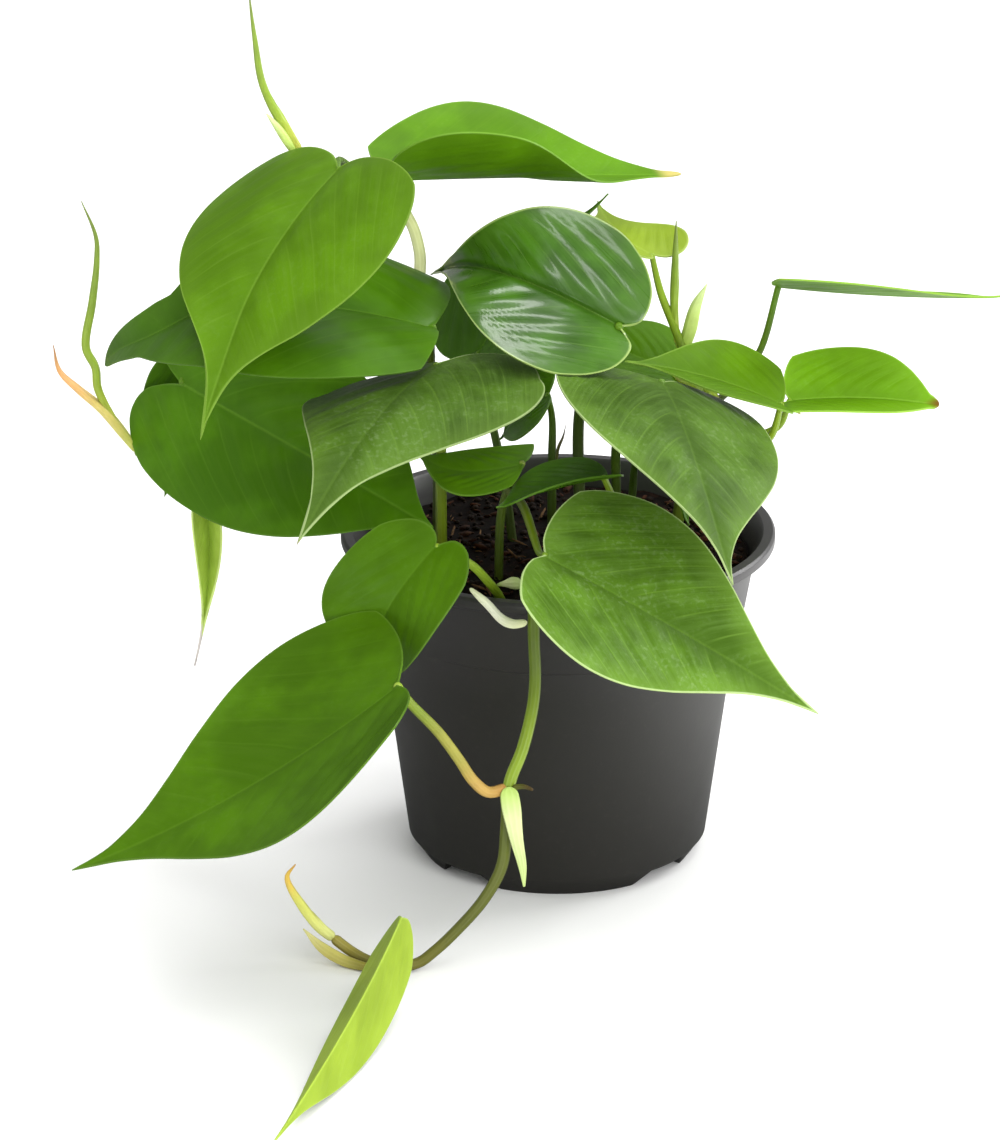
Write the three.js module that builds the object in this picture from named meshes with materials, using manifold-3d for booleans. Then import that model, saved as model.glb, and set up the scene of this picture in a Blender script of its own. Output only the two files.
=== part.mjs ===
// A heart-leaf philodendron in a 120 mm nursery pot, with one vine that trails over the rim to the ground.
// Millimetres, +Z up. The origin is on the pot's axis, on the surface it stands on, and -Y is the front.
import * as THREE from "three";
import { mergeVertices } from "three/addons/utils/BufferGeometryUtils.js";
import Module from "manifold-3d";

const wasm = await Module();
wasm.setup();

// ---- Driving dimensions ----
const GAP = 0.3; // air between pieces that touch
const SEAT = 0.4; // air between the soil's facets and the pot's
const pot = {
  rimRadius: 60,
  height: 94,
  rimMouthRadius: 56.6,
  rimDepth: 3.6,
  collarHeight: 70,
  collarRadius: 50.2,
  collarStep: 1.4,
  shoulderRadius: 55,
  baseRadius: 41.5,
  baseHeight: 5,
  footRadius: 37.5,
  footWidth: 2.4,
  centreFootRadius: 8,
  wall: 1.2,
  floor: 1.4,
  corner: 0.7,
  notches: 4,
  notchAngle: 49, // from the front, towards +X
  notchWidth: 13,
  notchSpread: 1.7, // how much wider an arch is at the ground than at its top
  notchDepth: 16,
  drainHoles: 6,
  drainHoleRadius: 4,
  drainCircle: 25,
  sides: 48,
};
const lipHeight = pot.height - pot.rimDepth;
const floorTop = pot.baseHeight + pot.floor;
const collarOuter = pot.collarRadius + pot.collarStep;
// The inside of the pot from the floor up to the rim: radius and height.
const bore = [
  [pot.baseRadius - pot.wall, floorTop],
  [pot.collarRadius - pot.wall, pot.collarHeight],
  [collarOuter - pot.wall, pot.collarHeight + 2 * pot.corner],
  [pot.shoulderRadius - pot.wall, lipHeight - 2 * pot.corner],
];
const soil = {
  top: 88,
  edgeDrop: 1, // how far the surface falls towards the pot's wall
  lumps: 1.6,
  sides: 24,
};
const BLADE_THICKNESS = 0.7;
const STALK_RADIUS = 1.3;
const STALK_SIDES = 6;
const VINE_SIDES = 8;

// ---- Finishes ----
const finish = (color, roughness) => new THREE.MeshStandardMaterial({ color, roughness, metalness: 0 });
const plastic = finish(0x3b3a36, 0.45);
const compost = finish(0x2b211a, 0.95);
const youngGreen = finish(0x9cc832, 0.4);
const leafGreen = finish(0x4f8f1c, 0.35);
const darkGreen = finish(0x2f6a1c, 0.3);
const stemGreen = finish(0x7d9a3c, 0.5);
const papery = finish(0xdfe6b8, 0.6);

// ---- Solids ----
function toSolid(geometry) {
  const plain = geometry.clone();
  plain.deleteAttribute("normal");
  plain.deleteAttribute("uv");
  const merged = mergeVertices(plain, 1e-3);
  return new wasm.Manifold(
    new wasm.Mesh({
      numProp: 3,
      vertProperties: merged.attributes.position.array,
      triVerts: new Uint32Array(merged.index.array),
    }),
  );
}

function toGeometry(solid) {
  const mesh = solid.getMesh();
  const geometry = new THREE.BufferGeometry();
  geometry.setAttribute("position", new THREE.BufferAttribute(mesh.vertProperties, 3));
  geometry.setIndex(new THREE.BufferAttribute(mesh.triVerts, 1));
  return geometry;
}

function surface(points, faces) {
  const geometry = new THREE.BufferGeometry().setFromPoints(points);
  geometry.setIndex(faces);
  return geometry;
}

// The largest body of a solid: a trim can leave a sliver on the far side of what trimmed it.
function largestBody(solid) {
  return solid.decompose().reduce((best, body) => (body.volume() > best.volume() ? body : best));
}

const plant = new THREE.Group();
function add(name, geometry, material) {
  const mesh = new THREE.Mesh(geometry, material);
  mesh.name = name;
  plant.add(mesh);
}

// ---- Pot ----
function potSolid() {
  const p = pot;
  const profile = [
    [0, 0],
    [p.centreFootRadius, 0],
    [p.centreFootRadius + p.corner, p.baseHeight],
    [p.footRadius, p.baseHeight],
    [p.footRadius - p.footWidth, 0],
    [p.footRadius, 0],
    [p.baseRadius - p.corner, p.baseHeight - p.corner / 2],
    [p.baseRadius, p.baseHeight],
    [p.collarRadius, p.collarHeight],
    [collarOuter, p.collarHeight + p.corner],
    [p.shoulderRadius, lipHeight - p.corner],
    [p.rimRadius - p.corner, lipHeight],
    [p.rimRadius, lipHeight + p.corner],
    [p.rimRadius, p.height - p.corner],
    [p.rimRadius - p.corner, p.height],
    [p.rimMouthRadius, p.height],
    ...bore.toReversed(),
    [0, floorTop],
  ].map(([r, z]) => new THREE.Vector2(r, z));
  let solid = toSolid(new THREE.LatheGeometry(profile, p.sides).rotateX(Math.PI / 2));
  if (solid.volume() < 0) throw new Error("the pot is inside out");
  // Four arches cut through the standing ring let water out.
  for (let i = 0; i < p.notches; i += 1) {
    const angle = THREE.MathUtils.degToRad(p.notchAngle - 90) + (i * 2 * Math.PI) / p.notches;
    const arch = new THREE.Shape([
      new THREE.Vector2((-p.notchWidth * p.notchSpread) / 2, -1),
      new THREE.Vector2((p.notchWidth * p.notchSpread) / 2, -1),
      new THREE.Vector2(p.notchWidth / 2, p.baseHeight - p.corner),
      new THREE.Vector2(-p.notchWidth / 2, p.baseHeight - p.corner),
    ]);
    const cut = new THREE.ExtrudeGeometry(arch, { depth: p.notchDepth, bevelEnabled: false });
    cut.rotateX(Math.PI / 2).rotateZ(Math.PI / 2);
    cut.translate(p.footRadius - p.notchDepth / 2, 0, 0).rotateZ(angle);
    solid = solid.subtract(toSolid(cut));
  }
  for (let i = 0; i < p.drainHoles; i += 1) {
    const hole = new THREE.CylinderGeometry(p.drainHoleRadius, p.drainHoleRadius, 4 * p.floor, 12);
    const angle = (i * 2 * Math.PI) / p.drainHoles;
    hole.rotateX(Math.PI / 2).translate(p.drainCircle, 0, p.baseHeight + p.floor / 2).rotateZ(angle);
    solid = solid.subtract(toSolid(hole));
  }
  return solid;
}

function boreRadius(z) {
  const above = bore.findIndex((point) => point[1] > z);
  const [[lowRadius, low], [highRadius, high]] = bore.slice(above - 1, above + 1);
  return THREE.MathUtils.mapLinear(z, low, high, lowRadius, highRadius);
}

// ---- Soil: it fills the pot to a little below the rim, with an uneven top ----
function soilGeometry() {
  const edge = soil.top - soil.edgeDrop;
  const widest = boreRadius(edge) - SEAT;
  const profile = [
    [0, floorTop + SEAT],
    ...bore.slice(0, -1).map(([r, z]) => [r - SEAT, z + SEAT]),
    [widest, edge],
    [widest * 0.87, edge + 0.4 * soil.edgeDrop],
    [widest * 0.64, soil.top],
    [widest * 0.38, soil.top],
    [0, soil.top],
  ].map(([r, z]) => new THREE.Vector2(r, z));
  const geometry = new THREE.LatheGeometry(profile, soil.sides).rotateX(Math.PI / 2);
  const at = geometry.attributes.position;
  for (let i = 0; i < at.count; i += 1) {
    if (at.getZ(i) <= edge) continue;
    const lump = Math.sin(at.getX(i) * 0.23 + 1) * Math.cos(at.getY(i) * 0.19 - 0.5);
    at.setZ(i, at.getZ(i) + (lump * soil.lumps) / 2);
  }
  return geometry;
}

// ---- Stems, stalks, shoots and sheaths: a round or flattened section swept along a curve ----
// radii are spread evenly along the curve, flat is the section's short side over its long side.
function swept(points, radii, { sides = STALK_SIDES, flat = 1, grow = 0 } = {}) {
  const steps = 2 * (points.length - 1);
  const curve = new THREE.CatmullRomCurve3(
    points.map((p) => new THREE.Vector3(...p)),
    false,
    "centripetal",
  );
  const { tangents, normals, binormals } = curve.computeFrenetFrames(steps, false);
  const rings = [];
  const faces = [];
  for (let i = 0; i <= steps; i += 1) {
    const along = (i / steps) * (radii.length - 1);
    const k = Math.min(Math.floor(along), radii.length - 2);
    const radius = THREE.MathUtils.lerp(radii[k], radii[k + 1], along - k) + grow;
    const end = i === 0 ? -grow : i === steps ? grow : 0;
    const centre = curve.getPointAt(i / steps).addScaledVector(tangents[i], end);
    for (let j = 0; j < sides; j += 1) {
      const angle = (j * 2 * Math.PI) / sides;
      rings.push(
        centre
          .clone()
          .addScaledVector(normals[i], Math.cos(angle) * radius)
          .addScaledVector(binormals[i], Math.sin(angle) * radius * flat),
      );
      if (i === steps) continue;
      const [a, b] = [i * sides + j, i * sides + ((j + 1) % sides)];
      faces.push(a, b, b + sides, a, b + sides, a + sides);
    }
  }
  const [first, last] = [rings.length, rings.length + 1];
  rings.push(
    curve.getPointAt(0).addScaledVector(tangents[0], -grow),
    curve.getPointAt(1).addScaledVector(tangents[steps], grow),
  );
  for (let j = 0; j < sides; j += 1) {
    const next = (j + 1) % sides;
    faces.push(first, next, j, last, steps * sides + j, steps * sides + next);
  }
  return surface(rings, faces);
}

// ---- Leaf blades ----
// Half of a heart-shaped outline: how far along the midrib, in lengths from the notch where the stalk joins,
// how far out from it, in half widths, and where on the midrib the vein to that point starts.
const HALF_HEART = [
  [-0.05, 0.08, 0.01],
  [-0.1, 0.2, 0.02],
  [-0.125, 0.38, 0.05],
  [-0.115, 0.58, 0.08],
  [-0.05, 0.8, 0.12],
  [0.06, 0.95, 0.2],
  [0.2, 1.0, 0.3],
  [0.34, 0.965, 0.42],
  [0.48, 0.83, 0.54],
  [0.61, 0.61, 0.65],
  [0.72, 0.38, 0.74],
  [0.81, 0.2, 0.83],
  [0.89, 0.085, 0.9],
];
// The points across each vein pair, from the left edge over the midrib to the right edge.
const ACROSS = [-1, -0.67, -0.33, 0, 0.33, 0.67, 1];
// A blade that is folded shut has straight halves, so that their inner faces don't cross at the midrib.
const FOLDED = [-1, 0, 1];

// A point of the blade's middle surface: s lengths along the midrib, t half widths out from it.
// The midrib bows by arch and sway, each side lifts from it by its own angle, the edges cup,
// the blade twists towards its tip and the tip curls under.
function bladePoint(leaf, s, t) {
  const base = new THREE.Vector3(...leaf.base);
  const along = new THREE.Vector3(...leaf.tip).sub(base);
  const length = along.length();
  along.normalize();
  const up = new THREE.Vector3(0, 0, 1).addScaledVector(along, -along.z).normalize();
  const level = new THREE.Vector3().crossVectors(up, along);
  const roll = THREE.MathUtils.degToRad(leaf.roll);
  const normal = up.multiplyScalar(Math.cos(roll)).addScaledVector(level, Math.sin(roll));
  const across = new THREE.Vector3().crossVectors(normal, along);
  const bow = 4 * s * (1 - s);
  const tipward = Math.max(0, (s - 0.6) / 0.4) ** 2 * (leaf.curl ?? 0);
  const lift = THREE.MathUtils.degToRad(leaf.lift[t > 0 ? 1 : 0]);
  const out = (t * leaf.width * Math.cos(lift)) / 2;
  const height = (Math.abs(t) * leaf.width * Math.sin(lift)) / 2 + (leaf.cup ?? 0) * t * t - tipward;
  const turn = THREE.MathUtils.degToRad(leaf.twist ?? 0) * s;
  return base
    .addScaledVector(along, length * s - tipward / 2)
    .addScaledVector(normal, leaf.arch * bow + height * Math.cos(turn) + out * Math.sin(turn))
    .addScaledVector(across, (leaf.sway ?? 0) * bow + out * Math.cos(turn) - height * Math.sin(turn));
}

function bladeNormal(leaf, s, t) {
  const step = 0.02;
  const ds = bladePoint(leaf, s + step, t).sub(bladePoint(leaf, s - step, t));
  const dt = bladePoint(leaf, s, t + step).sub(bladePoint(leaf, s, t - step));
  return ds.cross(dt).normalize();
}

// The blade as a closed shell. grow makes the larger copy that a stalk is trimmed with.
function bladeGeometry(leaf, grow = 0) {
  const length = new THREE.Vector3(...leaf.base).distanceTo(new THREE.Vector3(...leaf.tip));
  const half = BLADE_THICKNESS / 2 + grow;
  const across = leaf.across ?? ACROSS;
  const outline = HALF_HEART.map(([s, t, vein]) => {
    const lobed = s < 0 ? s * (leaf.lobes ?? 1) : s + (leaf.belly ?? 0) * s * (1 - s);
    return [lobed, t, vein];
  });
  const rows = outline.map(([s, t, vein]) =>
    across.map((v) => [vein + (s - vein) * Math.abs(v), t * v]),
  );
  const grid = [[[0, 0]], ...rows, [[1, 0]]];
  const top = [];
  const under = [];
  const index = grid.map((row) =>
    row.map(([s, t]) => {
      const stretched = 0.5 + (s - 0.5) * (1 + (2 * grow) / length);
      const widened = t * (1 + (2 * grow) / leaf.width);
      const point = bladePoint(leaf, stretched, widened);
      const normal = bladeNormal(leaf, stretched, widened);
      top.push(point.clone().addScaledVector(normal, half));
      under.push(point.addScaledVector(normal, -half));
      return top.length - 1;
    }),
  );
  const faces = [];
  const below = (i) => i + top.length;
  const tile = (a, b, c) => faces.push(a, b, c, below(a), below(c), below(b));
  for (let r = 0; r + 1 < index.length; r += 1) {
    const [near, far] = [index[r], index[r + 1]];
    for (let k = 0; k + 1 < across.length; k += 1) {
      if (near.length > 1) tile(near[k], far[far.length > 1 ? k : 0], near[k + 1]);
      if (far.length > 1) tile(near[near.length > 1 ? k + 1 : 0], far[k], far[k + 1]);
    }
  }
  const left = index.map((row) => row[0]);
  const right = index.map((row) => row[row.length - 1]).reverse();
  const loop = [...left, ...right.slice(1, -1)];
  loop.forEach((a, i) => {
    const b = loop[(i + 1) % loop.length];
    faces.push(a, below(b), b, a, below(a), below(b));
  });
  return surface([...top, ...under], faces);
}

// ---- Vines: the stems that rise out of the soil, each one piece with its short side stems ----
const vines = [
  { name: "trailing", radii: [1.8, 1.8, 1.9, 1.7, 1.5], routes: [
    [[-6, -44, 84], [-6.3, -51, 94], [-6.8, -57.5, 97.5], [-7, -62.8, 95], [-7, -65.5, 88],
      [-6.6, -68, 76], [-7.3, -71, 69], [-10, -76, 59], [-13.5, -80, 50.5], [-14.3, -82, 39],
      [-15.5, -84, 28.5], [-20, -86, 20], [-27.5, -87, 11], [-33.7, -88.2, 5.2], [-38, -89, 2.2],
      [-44, -91, 2], [-50.5, -88, 2], [-56, -83, 2.8], [-61, -81, 6]],
  ] },
  { name: "crown", radii: [1.8, 1.7, 1.4], routes: [
    [[-33, 5, 84], [-33, 7, 113], [-35, 9, 134], [-38, 10, 160], [-38, 9, 171], [-41, 8, 181], [-48, 5, 189],
      [-62, 2, 197], [-70.5, 0, 203]],
  ] },
  { name: "left", carries: ["hanging", "back_left"], radii: [1.7, 1.7, 1.4], routes: [
    [[-40, 12, 84], [-46, 15, 92], [-57, 19, 97.5], [-66, 22, 98], [-85, 25, 96.5], [-104, 22, 100],
      [-117, 18, 110]],
    [[-76, 24, 97.5], [-82, 29, 110], [-91, 34, 126], [-97, 36, 131], [-100, 32.2, 129]],
    [[-90, 24.5, 97.5], [-95, 16, 101], [-97, 3, 101]],
  ] },
  { name: "right", carries: ["back_right"], radii: [1.8, 1.7, 1.4], routes: [
    [[33, 22, 84], [36, 22, 100], [42, 18, 112], [43, 15, 125], [38, 16, 136], [33, 18, 142]],
    [[43, 15.5, 121], [38, 22, 127], [32, 22, 131]],
  ] },
  { name: "front", carries: ["small_heart"], radii: [1.2, 1.2, 1], routes: [
    [[-16.3, -25, 84], [-16.3, -25, 92], [-15.5, -24, 108], [-12.5, -27, 118], [-10, -36, 126]],
  ] },
];

// ---- Leaf stalks: each runs from the vine or the soil that carries it to its own blade ----
const stalks = [
  { leaf: "crown", route: [[-49, 5, 189], [-55, -5, 198], [-59, -20, 206.5], [-59, -35, 209]] },
  { leaf: "top_right", route: [[-41, 8, 181], [-45, 12, 187], [-46.5, 10, 193.5], [-42, 7, 195.5]] },
  { leaf: "glossy", radii: [1.7, 1.5, 1.2],
    route: [[7, 4, 84], [6, 5, 100], [5.8, 5, 125], [9, -4, 143], [15, -23, 158], [16, -33, 164]] },
  { leaf: "upper_left", route: [[-35, 9, 136], [-35, 1, 147], [-34, -12, 155], [-34, -22, 160]] },
  { leaf: "lower_left",
    route: [[-92, 24, 98], [-95, 26, 118], [-97, 26, 135], [-101, 21, 138], [-104, 14, 131]] },
  { leaf: "middle", radii: [1.6, 1.5, 1.2],
    route: [[-32, -21, 84], [-32, -24, 99], [-32, -28, 117], [-32, -32, 137], [-33, -35, 154]] },
  { leaf: "right", radii: [1.3, 1.3, 1.1],
    route: [[16, -2, 84], [16, -3, 104.5], [16, -7, 122], [20, -15, 138], [28, -26, 145.6]] },
  { leaf: "front_right", route: [[-14, -25, 114.5], [-10, -36, 114], [-5.5, -62, 110], [-4, -72, 113]] },
  { leaf: "front_heart",
    route: [[-14, -46, 84], [-16, -49, 92], [-20, -54, 99.6], [-24, -60, 106], [-33, -70, 115]] },
  { leaf: "trailing", radii: [1.7, 1.7, 1.6], route: [[-14, -80.5, 49.5], [-19, -82, 49], [-23, -84, 53],
    [-27, -88, 61], [-32, -92, 70], [-40, -104, 84], [-43, -110, 91]] },
  { leaf: "young_trailing", route: [[-46, -91, 2.2], [-45, -98, 8], [-43, -112, 20], [-42, -120.3, 28]] },
  { leaf: "small_dark", route: [[13, -14, 84], [13.5, -18, 98], [14.5, -27, 112], [12, -33, 121]] },
  { leaf: "behind_glossy", route: [[-12, 4, 84], [-15, 10, 105], [-20, 15, 128], [-22, 15, 140]] },
  { leaf: "far_right", route: [[40, 19, 109], [50, 8, 112], [58, 3, 119], [61, -5, 132]] },
  { leaf: "far_right_outer", route: [[42, 17, 115], [52, 17, 114], [61, 14, 118.5], [64, 12, 127]] },
  { leaf: "level", route: [[42, 14, 124], [50, 19, 130], [56, 22, 138], [61, 25, 156]] },
  { leaf: "lime", route: [[35, 17, 139], [31.3, 13.5, 149.5], [28, 11, 159], [25.5, 10, 170]] },
  { leaf: "inner_right", route: [[20, 10, 84], [21, 10, 105], [22, 8, 117]] },
  { leaf: "inner", route: [[-1.7, 4, 84], [-1.7, 4, 112], [-1.7, 3, 125], [-3, 0, 133]] },
];

// ---- Shoots: new leaves that are still rolled up, each at the end of a vine ----
const shoots = [
  { name: "crown", on: "crown", radii: [1.3, 1.4, 1.1, 0.9, 0.5, 0.15],
    route: [[-70.5, 0, 203], [-75, 0, 211], [-78, 0, 216.5], [-80.4, 0, 223], [-82, 0, 234.5],
      [-83.5, 0, 248]] },
  { name: "left", on: "left", radii: [1, 1.1, 1.2, 1.1, 0.7, 0.15],
    route: [[-121, 16, 116], [-127, 13, 130], [-127.5, 13, 136], [-130, 13, 142], [-128, 13, 155],
      [-126.5, 13, 167], [-126.6, 13, 174], [-130.3, 13, 184]] },
  { name: "right", on: "right", radii: [1, 1.1, 1.2, 0.9, 0.15],
    route: [[33, 18, 142], [32.3, 15, 147], [31.8, 11, 156.5], [31.9, 7, 169.5], [32, 5, 181]] },
  { name: "trailing", on: "trailing", radii: [1.5, 1.5, 1.3, 0.9, 0.2],
    route: [[-61, -81, 6], [-65, -81, 9.5], [-70, -80, 16], [-73, -80, 21.7], [-73.2, -80, 24],
      [-71.2, -79, 26.5]] },
];

// ---- Sheaths: the papery leaves that wrapped each new leaf ----
const sheaths = [
  { name: "crown", flat: 0.5, radii: [1, 1.2, 0.9, 0.15],
    route: [[-71.5, -2, 202.5], [-74, -2.4, 206], [-76.5, -2.2, 209.5], [-79, -2, 213.8]] },
  { name: "left", flat: 0.7, radii: [1.5, 2, 1.8, 1.3, 0.2],
    route: [[-117, 19, 109.6], [-126, 14, 123.4], [-132.4, 13, 129.6], [-137.5, 13, 135.1], [-139, 13, 142.6]] },
  { name: "right", flat: 0.6, radii: [1, 1.3, 1, 0.15],
    route: [[34.8, 17, 141.5], [36, 16, 146], [37.8, 15, 153.6], [40.8, 14, 160]] },
  { name: "node", flat: 0.35, radii: [1, 2.7, 2.5, 2, 0.2],
    route: [[-13.8, -82.6, 50.7], [-13, -84.1, 45.6], [-11.6, -86.1, 37.2], [-10, -87.1, 29.5],
      [-9.5, -87.1, 23.7]] },
  { name: "rim", flat: 0.5, radii: [0.5, 1.8, 1.9, 1.6, 1],
    route: [[-24, -60, 99], [-19.5, -62, 95.6], [-15.7, -64.5, 92.3], [-12.5, -66.5, 91.4],
      [-8.8, -67, 92]] },
  { name: "ground", flat: 0.5, radii: [1, 1.4, 1.3, 0.15],
    route: [[-51, -91, 1.6], [-58, -87, 2], [-64, -85, 5], [-69, -83, 9.5]] },
];

// ---- The leaves: base is the notch where the stalk joins, tip the point, both in the part's frame ----
const leaves = [
  { name: "crown", base: [-59, -35, 209], tip: [-95, -76, 147], width: 69, roll: -14, arch: 8, sway: 1,
    lift: [16, 10], cup: -11, twist: -40, lobes: 0.5, belly: -0.2, finish: leafGreen },
  { name: "top_right", base: [-42, 7, 195.5], tip: [34, 35, 184], width: 65, roll: 19, arch: 4, sway: 5,
    lift: [4, 1], cup: 9, twist: 39, lobes: 0.15, finish: leafGreen },
  { name: "glossy", base: [16, -33, 164], tip: [-35, 13, 163], width: 47, roll: 57, arch: 18, sway: -3,
    lift: [24, 28], cup: 3, twist: -9, lobes: 0.55, belly: -0.55, finish: darkGreen },
  { name: "upper_left", base: [-34, -22, 160], tip: [-131, -10, 148], width: 66, roll: 4, arch: 18, sway: 20,
    lift: [28, 20], cup: -12, twist: -38, lobes: 0.2, curl: 8, finish: darkGreen },
  { name: "lower_left", base: [-104, 14, 131], tip: [-34, -35, 107], width: 58, roll: -72, arch: 3, sway: 1,
    lift: [3, 4], cup: 1, twist: -43, lobes: 1.15, belly: 0.55, finish: darkGreen },
  { name: "middle", base: [-33, -35, 154], tip: [-69, -107, 129], width: 67, roll: -20, arch: 8, sway: 5,
    lift: [2, -10], cup: -6, twist: -36, lobes: 1.2, belly: -0.5, finish: leafGreen },
  { name: "right", base: [28, -26, 145.6], tip: [45, -102, 116], width: 67, roll: 23, arch: 10, sway: -7,
    lift: [-2, 0], cup: -4, twist: -7, lobes: 0.9, belly: 0.1, finish: leafGreen },
  { name: "front_right", base: [-4, -72, 113], tip: [69, -86, 73], width: 66, roll: -11, arch: 1, sway: 0,
    lift: [7, 7], cup: 0, twist: 46, lobes: 0.3, belly: -0.3, finish: leafGreen },
  { name: "front_heart", base: [-33, -70, 115], tip: [-43, -53, 69], width: 35, roll: 110, arch: 16, sway: -1,
    lift: [17, 10], cup: 3, lobes: 0.5, finish: leafGreen },
  { name: "trailing", base: [-43, -110, 91], tip: [-129, -114, 40], width: 80, roll: 6, arch: -2, sway: 4.5,
    lift: [0, 2], cup: 7, twist: -30, lobes: 0.15, belly: -0.25, finish: leafGreen },
  { name: "young_trailing", base: [-42, -122, 30], tip: [-74, -202, 2], width: 49, roll: 17, arch: 2, sway: 2,
    lift: [-75, -75], cup: 4, twist: -3, lobes: 0.5, across: FOLDED, finish: youngGreen },
  { name: "small_heart", base: [-10, -36, 126], tip: [-39, -26, 127], width: 21, roll: 19, arch: 1, sway: 10,
    lift: [10, 12], cup: 1, twist: -5, lobes: 0.2, belly: 0.1, finish: leafGreen },
  { name: "small_dark", base: [12, -33, 121], tip: [-17, -49, 118], width: 23, roll: -7, arch: 0, sway: -4,
    lift: [12, 11], cup: 1, lobes: 0.55, belly: 0.15, finish: darkGreen },
  { name: "behind_glossy", base: [-22, 15, 140], tip: [14, 36, 179], width: 50, roll: 0, arch: 3,
    lift: [10, 10], lobes: 0.8, finish: darkGreen },
  { name: "back_right", base: [32, 22, 131], tip: [2, 34, 135], width: 27, roll: 20, arch: 4,
    lift: [10, 10], lobes: 0.8, finish: leafGreen },
  { name: "far_right", base: [61, -5, 132], tip: [18, -10, 146], width: 33, roll: 7, arch: 3, sway: 2,
    lift: [13, 12], cup: 1, twist: -10, lobes: 0.25, finish: leafGreen },
  { name: "far_right_outer", base: [64, 12, 127], tip: [105, 8, 127], width: 31, roll: -16, arch: 1, sway: 1,
    lift: [20, 21], cup: 1, twist: 9, lobes: 0.4, belly: 0.75, finish: leafGreen },
  { name: "level", base: [61, 25, 156], tip: [125, 22, 154], width: 45, roll: 20, arch: -1,
    lift: [3, 3], lobes: 0.25, finish: leafGreen },
  { name: "lime", base: [25.5, 10, 170], tip: [11, 39, 176], width: 24, roll: -4, arch: -1, sway: 2,
    lift: [6, 4], cup: 4, twist: 18, lobes: 1, belly: -0.15, finish: youngGreen },
  { name: "hanging", base: [-97, 2, 101], tip: [-101, 2, 52], width: 16, roll: 90, arch: 0, sway: 2,
    lift: [60, 60], lobes: 0.3, belly: -0.3, finish: youngGreen },
  { name: "back_left", base: [-100, 32, 129], tip: [-110, 29, 92], width: 30, roll: 90, arch: 2,
    lift: [8, 8], lobes: 0.8, finish: darkGreen },
  { name: "inner_right", base: [23, 8, 117], tip: [36, -7, 97], width: 36, roll: 30, arch: 2,
    lift: [8, 8], lobes: 0.8, finish: darkGreen },
  { name: "inner", base: [-3, 0, 133], tip: [-16, 10, 116], width: 28, roll: 40, arch: 2,
    lift: [8, 8], lobes: 0.8, finish: darkGreen },
];

// ---- Assembly: each piece keeps clear of the ones that carry it ----
const larger = new Map(); // the same pieces with the gap added all round, which trim what touches them

function place(name, geometry, grown, material, clearOf = []) {
  let solid = toSolid(geometry);
  for (const other of clearOf) solid = solid.subtract(larger.get(other));
  solid = largestBody(solid);
  if (grown) larger.set(name, toSolid(grown));
  add(name, toGeometry(solid), material);
}

place("pot", toGeometry(potSolid()), null, plastic);
place("soil", soilGeometry(), soilGeometry().translate(0, 0, GAP), compost);

for (const leaf of leaves) {
  place(`leaf_${leaf.name}`, bladeGeometry(leaf), bladeGeometry(leaf, GAP), leaf.finish);
}

for (const vine of vines) {
  const tube = (grow) =>
    vine.routes
      .map((route) => toSolid(swept(route, vine.radii, { sides: VINE_SIDES, grow })))
      .reduce((whole, branch) => whole.add(branch));
  place(`vine_${vine.name}`, toGeometry(tube(0)), toGeometry(tube(GAP)), stemGreen, [
    "soil",
    ...(vine.carries ?? []).map((leaf) => `leaf_${leaf}`),
  ]);
}

const vineNames = vines.map((vine) => `vine_${vine.name}`);
const shootNames = shoots.map((shoot) => `shoot_${shoot.name}`);
for (const { name, on, route, radii } of shoots) {
  place(`shoot_${name}`, swept(route, radii), swept(route, radii, { grow: GAP }), youngGreen, [`vine_${on}`]);
}

for (const { leaf, route, radii = [STALK_RADIUS, STALK_RADIUS, 1.1] } of stalks) {
  const clearOf = ["soil", ...vineNames, ...shootNames, `leaf_${leaf}`];
  place(`stalk_${leaf}`, swept(route, radii), swept(route, radii, { grow: GAP }), stemGreen, clearOf);
}

const carriers = [...vineNames, ...shootNames, ...stalks.map((stalk) => `stalk_${stalk.leaf}`)];
for (const { name, route, radii, flat } of sheaths) {
  place(`sheath_${name}`, swept(route, radii, { flat }), null, papery, carriers);
}

export default plant;
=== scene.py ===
"""A young heart-leaf philodendron in a black nursery pot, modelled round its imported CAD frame.

The tables are in millimetres and the meshes in metres. The pot's axis is Z, and -Y is the front.
"""

import math
import random

import bpy
import numpy as np
from bpy.props import FloatProperty, FloatVectorProperty, IntProperty, PointerProperty
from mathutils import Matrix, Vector, noise


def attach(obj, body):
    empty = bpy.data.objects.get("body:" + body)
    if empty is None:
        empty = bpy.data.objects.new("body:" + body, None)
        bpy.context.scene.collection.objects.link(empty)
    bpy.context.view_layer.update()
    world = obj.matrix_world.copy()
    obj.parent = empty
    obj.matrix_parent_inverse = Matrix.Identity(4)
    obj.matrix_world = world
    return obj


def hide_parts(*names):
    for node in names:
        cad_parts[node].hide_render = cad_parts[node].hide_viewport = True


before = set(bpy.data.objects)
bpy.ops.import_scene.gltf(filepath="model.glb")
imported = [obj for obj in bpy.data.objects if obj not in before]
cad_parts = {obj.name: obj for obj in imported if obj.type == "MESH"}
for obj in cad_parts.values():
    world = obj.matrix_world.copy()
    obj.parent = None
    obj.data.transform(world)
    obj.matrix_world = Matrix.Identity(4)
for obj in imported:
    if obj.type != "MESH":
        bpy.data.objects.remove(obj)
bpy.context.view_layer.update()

bl_info = {
    "name": "Potted philodendron",
    "version": (1, 0, 0),
    "blender": (4, 5, 0),
    "location": "3D View > Sidebar > Philodendron",
    "description": "Models a trailing heart-leaf plant in its nursery pot round the CAD frame",
    "category": "Add Mesh",
}

MM = 0.001


def linear(code):
    """An sRGB hex colour as the linear red, green, blue and alpha that Blender's nodes take."""
    parts = [int(code[i : i + 2], 16) / 255 for i in (0, 2, 4)]
    return (*[c / 12.92 if c <= 0.04045 else ((c + 0.055) / 1.055) ** 2.4 for c in parts], 1)


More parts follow.
